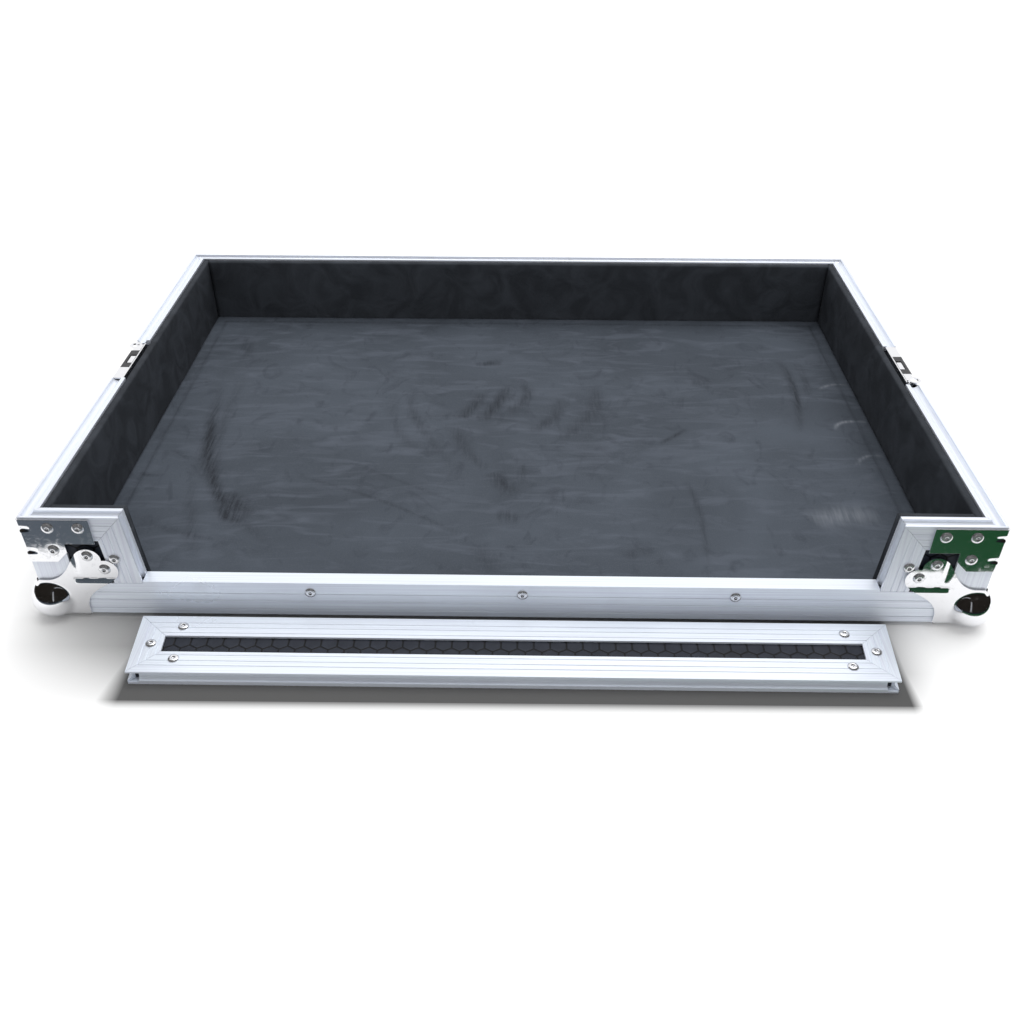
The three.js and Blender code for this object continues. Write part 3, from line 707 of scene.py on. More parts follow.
@dataclass(frozen=True)
class Stroke:
    """One rubbed mark on the floor foam: a bent line with a soft width.

    Places are in millimetres. A weight below zero is darker and above zero lighter.
    """

    start: tuple[float, float]
    bend: tuple[float, float]
    end: tuple[float, float]
    width: float
    weight: float

    def path(self) -> np.ndarray:
        """Works out the quadratic Bezier curve that passes through the bend half way.

        The curve is (1 - t)^2 start + 2 t (1 - t) pull + t^2 end.

        Returns:
            Points along it, one row each.
        """
        t = np.linspace(0.0, 1.0, PATH_POINTS)[:, None]
        start, bend, end = (np.array(place) * MM for place in (self.start, self.bend, self.end))
        pull = 2 * bend - (start + end) / 2
        return (1 - t) ** 2 * start + 2 * t * (1 - t) * pull + t ** 2 * end

    def paint(self, x: np.ndarray, y: np.ndarray) -> np.ndarray:
        """Works out the mark's strength.

        It falls off as a Gaussian of the distance from the nearest straight piece of the path,
        and fades in and out as the root of the sine of the share of the path that is run.

        Args:
            x: Points' places, in metres.
            y: The same.

        Returns:
            The strength at each point.
        """
        path, width = self.path(), self.width * MM
        nearest = np.full_like(x, np.inf)
        share = np.zeros_like(x)
        for k, (a, b) in enumerate(zip(path, path[1:])):
            step = b - a
            along = np.clip(((x - a[0]) * step[0] + (y - a[1]) * step[1]) / (step @ step), 0.0, 1.0)
            away = np.hypot(x - a[0] - along * step[0], y - a[1] - along * step[1])
            share = np.where(away < nearest, (k + along) / (len(path) - 1), share)
            nearest = np.minimum(nearest, away)
        return self.weight * np.sin(np.pi * share) ** 0.5 * np.exp(-(nearest / width) ** 2)


@dataclass
class FloorPad:
    """The floor's foam sheet, with its rubbed marks and a painted shade line along the walls."""

    # The attribute holds the rubbed strokes and also the painted shade line along the walls.
    stroke_and_shade_attribute = "rubbed"
    pitch: float = 2.2 * MM
    swell: float = 0.5 * MM
    seam_inset: float = 13.0
    tongue_gap: float = 0.3 * MM
    tongue_length: float = 7.3 * MM
    swell_waves: tuple[float, float] = (7.0, 5.0)
    # Strength and width of the painted shade line along the side and back walls.
    seam_shade_strength: float = 0.45
    seam_shade_width: float = 2.2 * MM
    strokes: tuple[Stroke, ...] = (
        Stroke((-305, 136), (-304, 12), (-281, -93), 5, -0.35),
        Stroke((-330, 116), (-314, 6), (-311, -74), 5, -0.45),
        Stroke((-325, 71), (-304, -34), (-261, -138), 6, -0.6),
        Stroke((-311, 6), (-289, -84), (-216, -174), 5, -0.5),
        Stroke((-310, -74), (-296, -138), (-275, -198), 6, -0.35),
        Stroke((-270, -94), (-256, -118), (-241, -134), 7, -0.8),
        Stroke((-275, -118), (-261, -138), (-251, -140), 5, -0.8),
        Stroke((-364, -64), (-356, -69), (-341, -69), 2, -0.6),
        Stroke((-336, -144), (-286, -164), (-236, -173), 4, -0.35),
        Stroke((-336, 241), (-316, 192), (-324, 167), 6, -0.4),
        Stroke((-6, 116), (-20, 71), (-36, 36), 7, -0.8),
        Stroke((-36, 97), (-45, 66), (-60, 41), 7, -0.7),
        Stroke((5, 112), (14, 92), (-9, 47), 6, -0.6),
        Stroke((-110, 106), (-104, 41), (-56, -54), 5, -0.4),
        Stroke((-136, 96), (-120, 16), (-96, -14), 6, -0.3),
        Stroke((-61, 27), (-50, -13), (-26, -54), 6, -0.6),
        Stroke((-20, -58), (-11, -74), (4, -98), 9, -0.65),
        Stroke((-15, -128), (-4, -130), (9, -138), 9, -0.55),
        Stroke((-46, 161), (-30, 166), (-16, 167), 6, -0.7),
        Stroke((50, 87), (41, 46), (15, 16), 7, -0.6),
        Stroke((86, 116), (84, 61), (46, -4), 9, -0.5),
        Stroke((9, -44), (10, -54), (9, -79), 2.5, -0.6),
        Stroke((-120, 41), (-56, 47), (24, 31), 2, -0.35),
        Stroke((-210, -69), (-131, -104), (-46, -158), 2, -0.5),
        Stroke((-171, -39), (-111, -74), (-45, -114), 2, -0.35),
        Stroke((180, 26), (166, 12), (149, -4), 2.5, -0.8),
        Stroke((166, -69), (174, -119), (171, -198), 2.5, -0.5),
        Stroke((304, 176), (310, 111), (296, 21), 4, -0.8),
        Stroke((324, 172), (326, 131), (319, 96), 4, -0.5),
        Stroke((336, 111), (354, 122), (371, 121), 2, 0.7),
        Stroke((335, 26), (346, 41), (371, 42), 2, 0.9),
        Stroke((341, -39), (354, -24), (371, -24), 2, 0.5),
        Stroke((276, -134), (304, -124), (341, -123), 12, 0.5),
        Stroke((-35, -174), (-21, -194), (-20, -213), 10, -0.35),
        Stroke((99, -188), (111, -184), (116, -189), 8, -0.4),
        Stroke((196, 127), (204, 126), (221, 122), 10, -0.4),
    )

    def build(self, wardrobe: Wardrobe) -> None:
        """Makes the pad: a masked grid for its top, closed by a skirt and a bottom face.

        The top swells by swell (cos(a u) cos(b v) - 1) / 2, where u and v run from -1 to 1 over
        the pad and a and b are swell_waves.

        Args:
            wardrobe: The finishes.
        """
        low, high = (np.array(corner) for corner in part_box("floor_foam"))
        tongue = FACES.opening(low[2]) - self.tongue_gap
        step = low[1] + self.tongue_length
        x = self.ticks(low[0], high[0], (-tongue, tongue))
        y = self.ticks(low[1], high[1], (step,))
        across, along = np.meshgrid(x, y)
        middle, half = (low + high) / 2, (high - low) / 2
        phases = zip((across, along), middle, half, self.swell_waves)
        rise = np.prod([np.cos((place - zero) / reach * waves)
                        for place, zero, reach, waves in phases], 0)
        lift = (rise - 1.0) * self.swell / 2
        points = np.stack([across, along, high[2] + lift], -1).reshape(-1, 3)
        quads = grid_faces(len(y), len(x))
        centres = points[quads].mean(1)
        kept = (np.abs(centres[:, 0]) < tongue) | (centres[:, 1] > step)
        pad = make_piece("floor_foam_pad", *self.skirted(points, quads[kept], low[2]),
                         wardrobe.floor_foam, recalculate=False)
        self.close(pad)
        self.paint(pad, half - self.seam_inset * MM, middle)
        settle(pad, TRAY, "floor_foam", "floor_foam")

    def ticks(self, low: float, high: float, through: tuple[float, ...]) -> np.ndarray:
        """Divides a length into steps, even between the values that they pass through.

        Args:
            low: The length's low end.
            high: Its high end.
            through: The values between.

        Returns:
            The places, in order.
        """
        stops = sorted((low, *through, high))
        runs = [np.linspace(a, b, max(int(round((b - a) / self.pitch)), 1) + 1)
                for a, b in zip(stops, stops[1:])]
        return np.unique(np.concatenate(runs).round(7))

    @staticmethod
    def skirted(points: np.ndarray, quads: np.ndarray, floor: float) -> tuple[np.ndarray, np.ndarray]:
        """Adds a wall from a sheet's open edges down to a level.

        An edge that only one quad has is open, and its wall's quad runs the other way along it.

        Args:
            points: The sheet's points.
            quads: Its quads, facing up.
            floor: The level.

        Returns:
            The used points with the wall's, and all the quads.
        """
        used, numbers = np.unique(quads, return_inverse=True)
        quads, points = numbers.reshape(-1, 4), points[used]
        edges = np.stack([quads, np.roll(quads, -1, axis=1)], -1).reshape(-1, 2)
        _, first, count = np.unique(np.sort(edges, axis=1), axis=0, return_index=True,
                                    return_counts=True)
        a, b = edges[first[count == 1]].T
        rim = np.unique(a)
        below = points[rim] * (1.0, 1.0, 0.0) + (0.0, 0.0, floor)
        low_a, low_b = (np.searchsorted(rim, ends) + len(points) for ends in (a, b))
        wall = np.stack([b, a, low_a, low_b], -1)
        return np.concatenate([points, below]), np.concatenate([quads, wall])

    @staticmethod
    def close(pad: bpy.types.Object) -> None:
        """Closes the wall's lower edge with one face.

        Args:
            pad: The pad.
        """
        work = bmesh.new()
        work.from_mesh(pad.data)
        bmesh.ops.holes_fill(work, edges=[edge for edge in work.edges if edge.is_boundary], sides=0)
        bmesh.ops.recalc_face_normals(work, faces=work.faces)
        work.to_mesh(pad.data)
        work.free()
        pad.data.shade_smooth()

    def paint(self, pad: bpy.types.Object, reach: np.ndarray, middle: np.ndarray) -> None:
        """Writes the marks' strength to the pad's attribute.

        It is the sum of the strokes and of painted shade: a dark line for the crease along the side and
        back walls.

        Args:
            pad: The pad.
            reach: Half sizes of the rectangle that the painted shade line runs along.
            middle: The pad's middle.
        """
        mesh = pad.data
        places = np.empty(len(mesh.vertices) * 3)
        mesh.vertices.foreach_get("co", places)
        x, y, _ = places.reshape(-1, 3).T
        marks = sum(stroke.paint(x, y) for stroke in self.strokes)
        side = np.abs(np.abs(x - middle[0]) - reach[0])
        back = np.abs(y - middle[1] - reach[1])
        # Painted shade: a dark line along the side and back walls, at the crease.
        for away, inside in ((side, y < middle[1] + reach[1]), (back, np.abs(x - middle[0]) < reach[0])):
            marks = marks - self.seam_shade_strength * inside * np.exp(-(away / self.seam_shade_width) ** 2)
        made = mesh.attributes.new(self.stroke_and_shade_attribute, "FLOAT", "POINT")
        made.data.foreach_set("value", np.clip(marks, -1.0, 1.0).astype(np.float32))


@dataclass
class WallStrip:
    """One wall's foam: a strip with a soft top edge, lapped over the extrusion's flange.

    opens is 1 where its high end stands at the slanted opening, -1 where its low end does.
    Each ripple has its strength, its radians per metre and per height, and its start.
    """

    node: str
    along: Run
    facing: int
    opens: int = 0
    step: float = 4.0 * MM
    top_round: float = 2.2 * MM
    wave: float = 0.7 * MM
    ripples: tuple[tuple[float, float, float, float], ...] = (
        (1.0, 21.0, 2.0, 0.0), (0.6, 47.0, 5.0, 1.0))
    round_points: int = 6
    face_points: int = 9
    lap: float = 2.2 * MM
    shelf_drop: float = 12.3 * MM
    flange_reach: float = 12.5 * MM
    back_depth: float = 4.0 * MM

    def profile(self, thick: float, low: float, high: float, shelf: float) -> np.ndarray:
        """Works out the section, run round from the lower back edge.

        The top corners are quarter circles of top_round.

        Args:
            thick: The strip's full thickness.
            low: The strip's lower edge.
            high: Its upper edge.
            shelf: Where the upper part's set back begins.

        Returns:
            Inward and upward places, one row for each point.
        """
        turn = np.linspace(0.0, np.pi / 2, self.round_points)
        r = self.top_round
        inner = np.stack([thick - r + r * np.cos(turn), high - r + r * np.sin(turn)], -1)
        outer = np.stack([self.lap + r - r * np.sin(turn), high - r + r * np.cos(turn)], -1)
        levels = np.sort(np.append(np.linspace(low, high - r, self.face_points)[1:-1], shelf))
        face = np.stack([np.full_like(levels, thick), levels], -1)
        start, stop = [(0.0, low), (thick, low)], [(self.lap, shelf), (0.0, shelf)]
        return np.concatenate([start, face, inner, outer, stop])

    def ends(self, low: float, high: float, up: np.ndarray,
             shelf: float) -> tuple[np.ndarray, np.ndarray]:
        """Works out where the strip begins and stops at each height.

        A side strip's upper part is a lap shorter at both ends, for the rims' flanges, and a
        return strip follows the slanted opening.

        Args:
            low: The strip's low end.
            high: Its high end.
            up: Heights.
            shelf: Where the upper part begins.

        Returns:
            The places along the wall where it begins, and those where it stops.
        """
        short = self.lap * (up > shelf - MM / 100) * (self.along is Run.Y)
        opening = FACES.opening(up)
        start = np.maximum(low, opening) if self.opens < 0 else low + short
        stop = np.minimum(high, -opening) if self.opens > 0 else high - short
        return start, stop

    def build(self, wardrobe: Wardrobe) -> None:
        """Sweeps the section along the wall.

        The face waves by a sum of sines of the length and height, faded as h (1 - h) towards
        the edges. Beside the opening the strip keeps a lap from the board, clear of the jamb's
        inner flange.

        Args:
            wardrobe: The finishes.
        """
        low, high = (np.array(corner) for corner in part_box(self.node))
        run, inward = self.along.value, 1 - self.along.value
        shelf = FACES.top - self.shelf_drop
        section = self.profile(high[inward] - low[inward], low[2], high[2], shelf)
        share = np.linspace(0.0, 1.0, int((high[run] - low[run]) / self.step) + 2)[:, None]
        start, stop = self.ends(low[run], high[run], section[:, 1], shelf)
        t = start + share * (stop - start)
        inwards, up = (np.broadcast_to(part, t.shape) for part in section.T)
        height = (up - low[2]) / (high[2] - low[2])
        fade = np.clip(height * (1.0 - height) * 4.0, 0.0, 1.0) * (inwards > self.back_depth)
        ripple = sum(strength * np.sin(t * run_rate + height * rise_rate + begin)
                     for strength, run_rate, rise_rate, begin in self.ripples)
        whole = sum(strength for strength, *_ in self.ripples)
        inwards = inwards - fade * self.wave * (1.0 + ripple / whole) / 2
        beside = (np.abs(t) - FACES.opening(up) < self.flange_reach + self.step) & (self.opens != 0)
        inwards = np.where(beside, np.maximum(inwards, self.lap), inwards)
        points = np.empty((*t.shape, 3))
        base = low[inward] if self.facing > 0 else high[inward]
        points[..., run] = t
        points[..., inward] = base + self.facing * inwards
        points[..., 2] = up
        count, around = t.shape
        caps = [list(range(around)), list(range((count - 1) * around, count * around))]
        faces = [*grid_faces(count, around, wrap=True), *caps]
        strip = make_piece(f"{self.node}_strip", points, faces, wardrobe.wall_foam)
        settle(strip, TRAY, "wall_foam", self.node)


@dataclass
class Lining:
    """The whole foam lining."""

    strips: tuple[WallStrip, ...] = (
        WallStrip("back_foam", Run.X, -1),
        WallStrip("left_foam", Run.Y, 1),
        WallStrip("right_foam", Run.Y, -1),
        WallStrip("left_return_foam", Run.X, 1, opens=1),
        WallStrip("right_return_foam", Run.X, 1, opens=-1),
    )
    floor: FloorPad = field(default_factory=FloorPad)

    def build(self, wardrobe: Wardrobe) -> None:
        """Makes the floor and the walls.

        Args:
            wardrobe: The finishes.
        """
        self.floor.build(wardrobe)
        for strip in self.strips:
            strip.build(wardrobe)


# ---------------------------------------------------------------------------
# Pressed steel
# ---------------------------------------------------------------------------


WELD = 0.02 * MM


@dataclass
class BallCorner:
    """A ball corner: a ball that runs smoothly into three lobed legs, one on each face.

    Its own coordinates are millimetres inwards from the case's side, end and bottom faces.
    """

    ball_radius: float = 19.5
    ball_centre: tuple[float, float, float] = (6.5, 6.5, 14.5)
    proud: float = 1.8
    thickness: float = 1.5
    edge_round: float = 0.35
    leg_base: float = 37.0
    base_straight: float = 10.0
    waist: tuple[tuple[float, float], tuple[float, float]] = ((40.5, 30.5), (66.0, 31.5))
    lobe: tuple[float, float] = (59.9, 48.2)
    lobe_radius: float = 10.2
    lobe_turn: float = -0.11 * np.pi
    fold: float = 3.4
    fillet: float = 3.0
    press_level: float = 36.8
    press_start: float = 31.0
    press_width: float = 6.4
    press_steep: float = 1.0
    press_depth: float = 1.25
    crease_at: float = 36.0
    crease_half: float = 5.0
    crease_levels: tuple[float, float] = (44.0, 66.0)
    crease_depth: float = 1.7
    rows: int = 100
    columns: int = 46
    arc_points: int = 90
    curve_points: int = 160
    halvings: int = 34
    ray_reach: tuple[float, float] = (0.5, 3.0)

    def half_outline(self) -> np.ndarray:
        """Works out a leg's outline from its edge to the valley between the lobes.

        A straight base runs into a cubic Bezier curve, and that into the lobe's arc, which ends
        on the diagonal.

        Returns:
            Points along it in even steps.
        """
        lobe = np.array(self.lobe)
        span = (lobe[0] - lobe[1]) / 2
        valley = lobe.mean() + (self.lobe_radius ** 2 / 2 - span ** 2) ** 0.5
        stop = np.arctan2(valley - lobe[1], valley - lobe[0])
        turn = np.linspace(self.lobe_turn, stop, self.arc_points)[:, None]
        arc = lobe + self.lobe_radius * np.concatenate([np.cos(turn), np.sin(turn)], 1)
        t = np.linspace(0.0, 1.0, self.curve_points)[:, None]
        controls = ((self.leg_base, self.base_straight), *self.waist)
        start, near, far = (np.array(place) for place in controls)
        curve = (1 - t) ** 3 * start + 3 * t * (1 - t) ** 2 * near
        curve = curve + 3 * t ** 2 * (1 - t) * far + t ** 3 * arc[0]
        path = np.concatenate([[[self.leg_base, -self.proud]], curve, arc[1:]])
        run = np.concatenate([[0.0], np.cumsum(np.linalg.norm(np.diff(path, axis=0), axis=1))])
        even = np.linspace(0.0, run[-1], self.rows)
        return np.stack([np.interp(even, run, part) for part in path.T], -1)

    def half_leg(self) -> np.ndarray:
        """Works out half a leg, flat: straight lines from the diagonal to the outline.

        Returns:
            A grid of points, with even steps along both.
        """
        outline = self.half_outline()
        diagonal = np.linspace([-self.proud] * 2, outline[-1], self.rows)
        share = np.linspace(0.0, 1.0, self.columns)[None, :, None]
        return diagonal[:, None] * (1 - share) + outline[:, None] * share

    def solid(self, points: np.ndarray) -> np.ndarray:
        """Works out how far points are outside the corner's solid.

        The solid is the smooth union of the ball and of the case's corner, offset by proud and
        with its edges rounded by fold.

        Args:
            points: The points, in the corner's coordinates.

        Returns:
            Their distances, below zero inside.
        """
        ball = np.linalg.norm(points - np.array(self.ball_centre), axis=-1) - self.ball_radius
        short = self.fold - self.proud - points
        outside = np.linalg.norm(np.maximum(short, 0.0), axis=-1)
        box = outside + np.minimum(short.max(-1), 0.0) - self.fold
        return smooth_least(box, ball, self.fillet)

    def swollen(self, flat: np.ndarray) -> np.ndarray:
        """Moves flat points along their rays from the ball's centre to the solid's surface.

        The place along each ray is found by halving the bracket that holds it.

        Args:
            flat: Points on the offset faces.

        Returns:
            The points on the surface.
        """
        centre = np.array(self.ball_centre)
        low, high = (np.full(len(flat), reach) for reach in self.ray_reach)
        for _ in range(self.halvings):
            middle = (low + high) / 2
            inside = self.solid(centre + (flat - centre) * middle[:, None]) < 0
            low, high = np.where(inside, middle, low), np.where(inside, high, middle)
        return centre + (flat - centre) * low[:, None]

    def crease(self, inward: np.ndarray, level: np.ndarray) -> np.ndarray:
        """Works out the upright crease, which deepens evenly with the level.

        Across, it is a raised cosine round crease_at.

        Args:
            inward: Places along the face.
            level: Heights.

        Returns:
            Its depth at each place.
        """
        across = np.clip(np.abs(inward - self.crease_at) / self.crease_half, 0.0, 1.0)
        low, high = self.crease_levels
        rise = np.clip((level - low) / (high - low), 0.0, 1.0)
        return self.crease_depth * (1.0 + np.cos(np.pi * across)) / 2 * rise

    def groove(self, along: np.ndarray, across: np.ndarray) -> np.ndarray:
        """Works out the level groove: a long slope by the ball and a steep one above.

        Args:
            along: Places along the groove, which runs out at the leg's edge.
            across: Places across it.

        Returns:
            Its depth at each place.
        """
        half = self.press_width / 2
        away = across - self.press_level
        slow = np.clip((away + half) / (self.press_width - self.press_steep), 0.0, 1.0)
        steep = np.clip((half - away) / self.press_steep, 0.0, 1.0)
        run = np.clip((along - self.press_start) / half, 0.0, 1.0)
        return self.press_depth * np.sqrt(run * (2.0 - run)) * np.minimum(slow, steep)

    def shell(self) -> np.ndarray:
        """Works out the six half legs, of which the upright four are grooved.

        Returns:
            Their points, one grid after another.
        """
        half = self.half_leg().reshape(-1, 2)
        p, q = np.concatenate([half, half[:, ::-1]]).T
        face = np.full_like(p, -self.proud)
        faces = ((p, q, face), (face, p, q), (p, face, q))
        bottom, side, end = (np.stack(parts, -1) for parts in faces)
        depth = self.groove(p, q) + self.crease(p, q)
        side, end = self.swollen(side), self.swollen(end)
        side[:, 0] += depth
        end[:, 1] += depth
        return np.concatenate([self.swollen(bottom), side, end])

    def build(self, wardrobe: Wardrobe, side: Side, end: End) -> None:
        """Makes one ball corner.

        Args:
            wardrobe: The finishes.
            side: Its side.
            end: Its end.
        """
        quads = grid_faces(self.rows, self.columns)
        faces = np.concatenate([quads + k * self.rows * self.columns for k in range(6)])
        name = f"{word(end)}_{word(side)}_ball_corner"
        place = FACES.corner(side, end)
        points = moved(self.shell() * MM, place)
        piece = make_piece(f"{name}_shell", points, faces, wardrobe.steel, weld=WELD)
        face_shell_out(piece, moved(np.array(self.ball_centre) * MM, place))
        thicken(piece, self.thickness * MM, self.edge_round * MM)
        settle(piece, TRAY, "chrome", name)


def thicken(piece: bpy.types.Object, thickness: float, edge_round: float) -> None:
    """Gives a shell its thickness inwards and rounds its cut edges.

    Args:
        piece: The shell.
        thickness: How thick it is.
        edge_round: The cut edges' rounding.
    """
    solid = piece.modifiers.new("thickness", "SOLIDIFY")
    solid.thickness = thickness
    solid.offset = -1.0
    bevel = piece.modifiers.new("edges", "BEVEL")
    bevel.width = edge_round
    bevel.segments = 2
    bevel.limit_method = "ANGLE"
    bevel.angle_limit = np.radians(50.0)
    bevel.harden_normals = True


def face_shell_out(piece: bpy.types.Object, centre: np.ndarray) -> None:
    """Flips an open shell whose faces look towards a centre on the whole.

    Args:
        piece: The shell.
        centre: A point inside it.
    """
    mesh = piece.data
    count = len(mesh.polygons)
    centres, normals, areas = np.empty(count * 3), np.empty(count * 3), np.empty(count)
    mesh.polygons.foreach_get("center", centres)
    mesh.polygons.foreach_get("normal", normals)
    mesh.polygons.foreach_get("area", areas)
    facing = ((centres.reshape(-1, 3) - centre) * normals.reshape(-1, 3)).sum(1)
    if (facing * areas).sum() < 0:
        mesh.flip_normals()


@dataclass
class Brace:
    """A folded brace at a top corner: a flag along the rim over a chamfered block."""

    proud: float = 1.8
    thickness: float = 1.5
    fold: float = 2.4
    drop: float = 1.2
    flag: tuple[float, float] = (57.5, 24.3)
    block: tuple[float, float] = (32.5, 43.0)
    chamfer: float = 9.8
    edge_round: float = 0.35
    dart_drops: tuple[float, float] = (10.5, 33.0)
    dart_length: float = 10.0
    dart_half_height: float = 2.8
    dart_depth: float = 1.9
    rivets: tuple[tuple[float, float], ...] = ((22.9, 9.4), (47.5, 9.4), (21.8, 31.9))
    dimple_depth: float = 0.16
    dimple_radius: float = 7.0
    dart_share: float = 0.7
    fold_reach: float = 12.0
    fold_ticks: int = 41
    block_ticks: int = 31
    flag_ticks: int = 11
    flag_rows: int = 36
    block_rows: int = 28

    def folded(self, s: np.ndarray, z: np.ndarray) -> np.ndarray:
        """Wraps a flat place round the case's corner.

        s counts along the sheet from the fold's middle. Beyond the fold's arc the sheet is
        straight. Darts press the fold in, as a wedge across and a cosine up and down, and each
        rivet lifts the sheet a little round it, as a Gaussian.

        Args:
            s: Places along the sheet, in millimetres.
            z: Drops below the rim, in millimetres.

        Returns:
            Points in the corner's coordinates, counted inwards, with z below the rim's top.
        """
        arc = self.fold * np.pi / 4
        turn = np.clip(np.abs(s) / self.fold, 0.0, np.pi / 4)
        beyond = np.maximum(np.abs(s) - arc, 0.0)
        centre = self.fold - self.proud
        near = centre - self.fold * np.cos(np.pi / 4 - turn)
        far = centre - self.fold * np.sin(np.pi / 4 - turn)
        pressed = np.zeros_like(s)
        for drop in self.dart_drops:
            up = np.clip(np.abs(z - drop) / self.dart_half_height, 0.0, 1.0)
            wedge = np.clip(1 - np.abs(s) / self.dart_length, 0.0, 1.0)
            pressed = pressed + self.dart_share * self.dart_depth * wedge * np.cos(np.pi / 2 * up)
        along, face = far + beyond, near
        for a, drop in self.rivets:
            away = (along - a) ** 2 + (z - drop) ** 2
            face = face + self.dimple_depth * np.exp(-away / self.dimple_radius ** 2)
        a = np.where(s > 0, along, face)
        b = np.where(s > 0, face, along)
        return np.stack([a + pressed, b + pressed, -z], -1)

    def build(self, wardrobe: Wardrobe, side: Side, end: End) -> None:
        """Makes one brace from two bands, the flag's and the block's, that share a line.

        Args:
            wardrobe: The finishes.
            side: Its side.
            end: Its end.
        """
        reach = [self.sheet_length(width) for width in (self.flag[0], self.block[0])]
        tip = self.sheet_length(self.block[0] - self.chamfer)
        fine = np.linspace(-self.fold_reach, self.fold_reach, self.fold_ticks)
        coarse = np.linspace(-reach[1], reach[1], self.block_ticks)
        inner = np.unique(np.concatenate([coarse, fine, [-tip, tip]]).round(5))
        right = np.linspace(reach[1], reach[0], self.flag_ticks)[1:]
        outer = np.concatenate([-right[::-1], inner, right])
        flag_low = self.drop + self.flag[1]
        flag = self.band(outer, self.drop, flag_low, self.flag_rows)
        cut = self.drop + self.block[1] - np.clip(np.abs(inner) - tip, 0.0, self.chamfer)
        block = self.band(inner, flag_low, cut, self.block_rows)
        points = np.concatenate([flag.reshape(-1, 3), block.reshape(-1, 3)])
        parts = [grid_faces(*flag.shape[:2]), grid_faces(*block.shape[:2]) + flag.size // 3]
        faces = np.concatenate(parts)
        place = FACES.corner(side, end)
        place.translation.z = FACES.top
        name = f"{word(end)}_{word(side)}_brace"
        piece = make_piece(f"{name}_plate", moved(points * MM, place), faces, wardrobe.steel, weld=WELD)
        face_shell_out(piece, np.array((0.0, (FACES.front + FACES.back) / 2, FACES.top)))
        thicken(piece, self.thickness * MM, self.edge_round * MM)
        settle(piece, TRAY, "chrome", name)

    def sheet_length(self, width: float) -> float:
        """Returns the length along the sheet that reaches a width from the case's corner."""
        return width - (self.fold - self.proud) + self.fold * np.pi / 4

    def band(self, s: np.ndarray, top: float, low: np.ndarray | float, rows: int) -> np.ndarray:
        """Works out a band between two edges, along straight upright lines.

        Args:
            s: Places along the sheet.
            top: The upper edge's drop.
            low: The lower edge's drop, one for all or one for each place.
            rows: How many rows of points.

        Returns:
            The band's grid of points.
        """
        share = np.linspace(0.0, 1.0, rows)[:, None]
        z = top * (1 - share) + np.broadcast_to(low, s.shape) * share
        return self.folded(np.broadcast_to(s, z.shape), z)


# ---------------------------------------------------------------------------
# Rivets
# ---------------------------------------------------------------------------


@dataclass
class RivetSet:
    """Blind rivets: a domed head with the pit and stub of the drawn mandrel.

    The lip, pit and stub count their places from the dome's top, as radius and drop.
    """

    head_radius: float = 4.9
    head_height: float = 1.7
    rim_radius: float = 1.65
    skirt: float = 0.25
    within: tuple[tuple[float, float], ...] = (
        (1.65, 0.0), (1.4, 0.15), (1.3, 1.0), (0.8, 1.0), (0.65, 0.5), (0.4, 0.35), (0.0, 0.3))
    dome_points: int = 9
    sides: int = 28

    def profile(self) -> np.ndarray:
        """Works out the head's section, from its skirt to the pit's middle.

        The dome is close to a quarter ellipse: its radius falls to the rim's as cos(t)^0.8 and
        its height rises as sin(t)^0.9.

        Returns:
            Radius and height, one row for each point.
        """
        turn = np.linspace(0.0, np.pi / 2, self.dome_points)[:-1]
        radius = self.rim_radius + (self.head_radius - self.rim_radius) * np.cos(turn) ** 0.8
        dome = np.stack([radius, self.head_height * np.sin(turn) ** 0.9], -1)
        within = np.array([0.0, self.head_height]) + np.array(self.within) * (1.0, -1.0)
        return np.concatenate([[[self.head_radius, -self.skirt]], dome, within])

    def build(self, name: str, body: str, places: np.ndarray, normals: np.ndarray,
              wardrobe: Wardrobe) -> None:
        """Makes one mesh of all the rivets of a body.

        Each head is the profile turned round its normal, and closed by a fan at its middle.

        Args:
            name: The piece's name.
            body: The body it rides on.
            places: The heads' seats, in metres.
            normals: Their outward directions.
            wardrobe: The finishes.
        """
        radius, height = self.profile().T[..., None] * MM
        turn = np.linspace(0.0, 2 * np.pi, self.sides, endpoint=False)
        rings = np.broadcast_arrays(radius * np.cos(turn), radius * np.sin(turn), height)
        rings = np.stack(rings, -1)[:-1]
        head = np.concatenate([rings.reshape(-1, 3), [[0.0, 0.0, height[-1, 0]]]])
        tip = len(head) - 1
        last = np.arange(tip - self.sides, tip)
        fan = np.stack([last, np.roll(last, -1), np.full_like(last, tip)], -1)
        side = np.where(np.abs(normals[:, [2]]) < 0.9, [[0.0, 0.0, 1.0]], [[1.0, 0.0, 0.0]])
        u = np.cross(side, normals)
        u /= np.linalg.norm(u, axis=1, keepdims=True)
        points = places[:, None, :] + head[None] @ np.stack([u, np.cross(normals, u), normals], 1)
        starts = np.arange(len(places))[:, None, None] * len(head)
        faces = [row for part in (grid_faces(len(rings), self.sides, wrap=True), fan)
                 for row in (starts + part).reshape(-1, part.shape[1])]
        settle(make_piece(name, points, faces, wardrobe.rivets, recalculate=False), body, "aluminium")


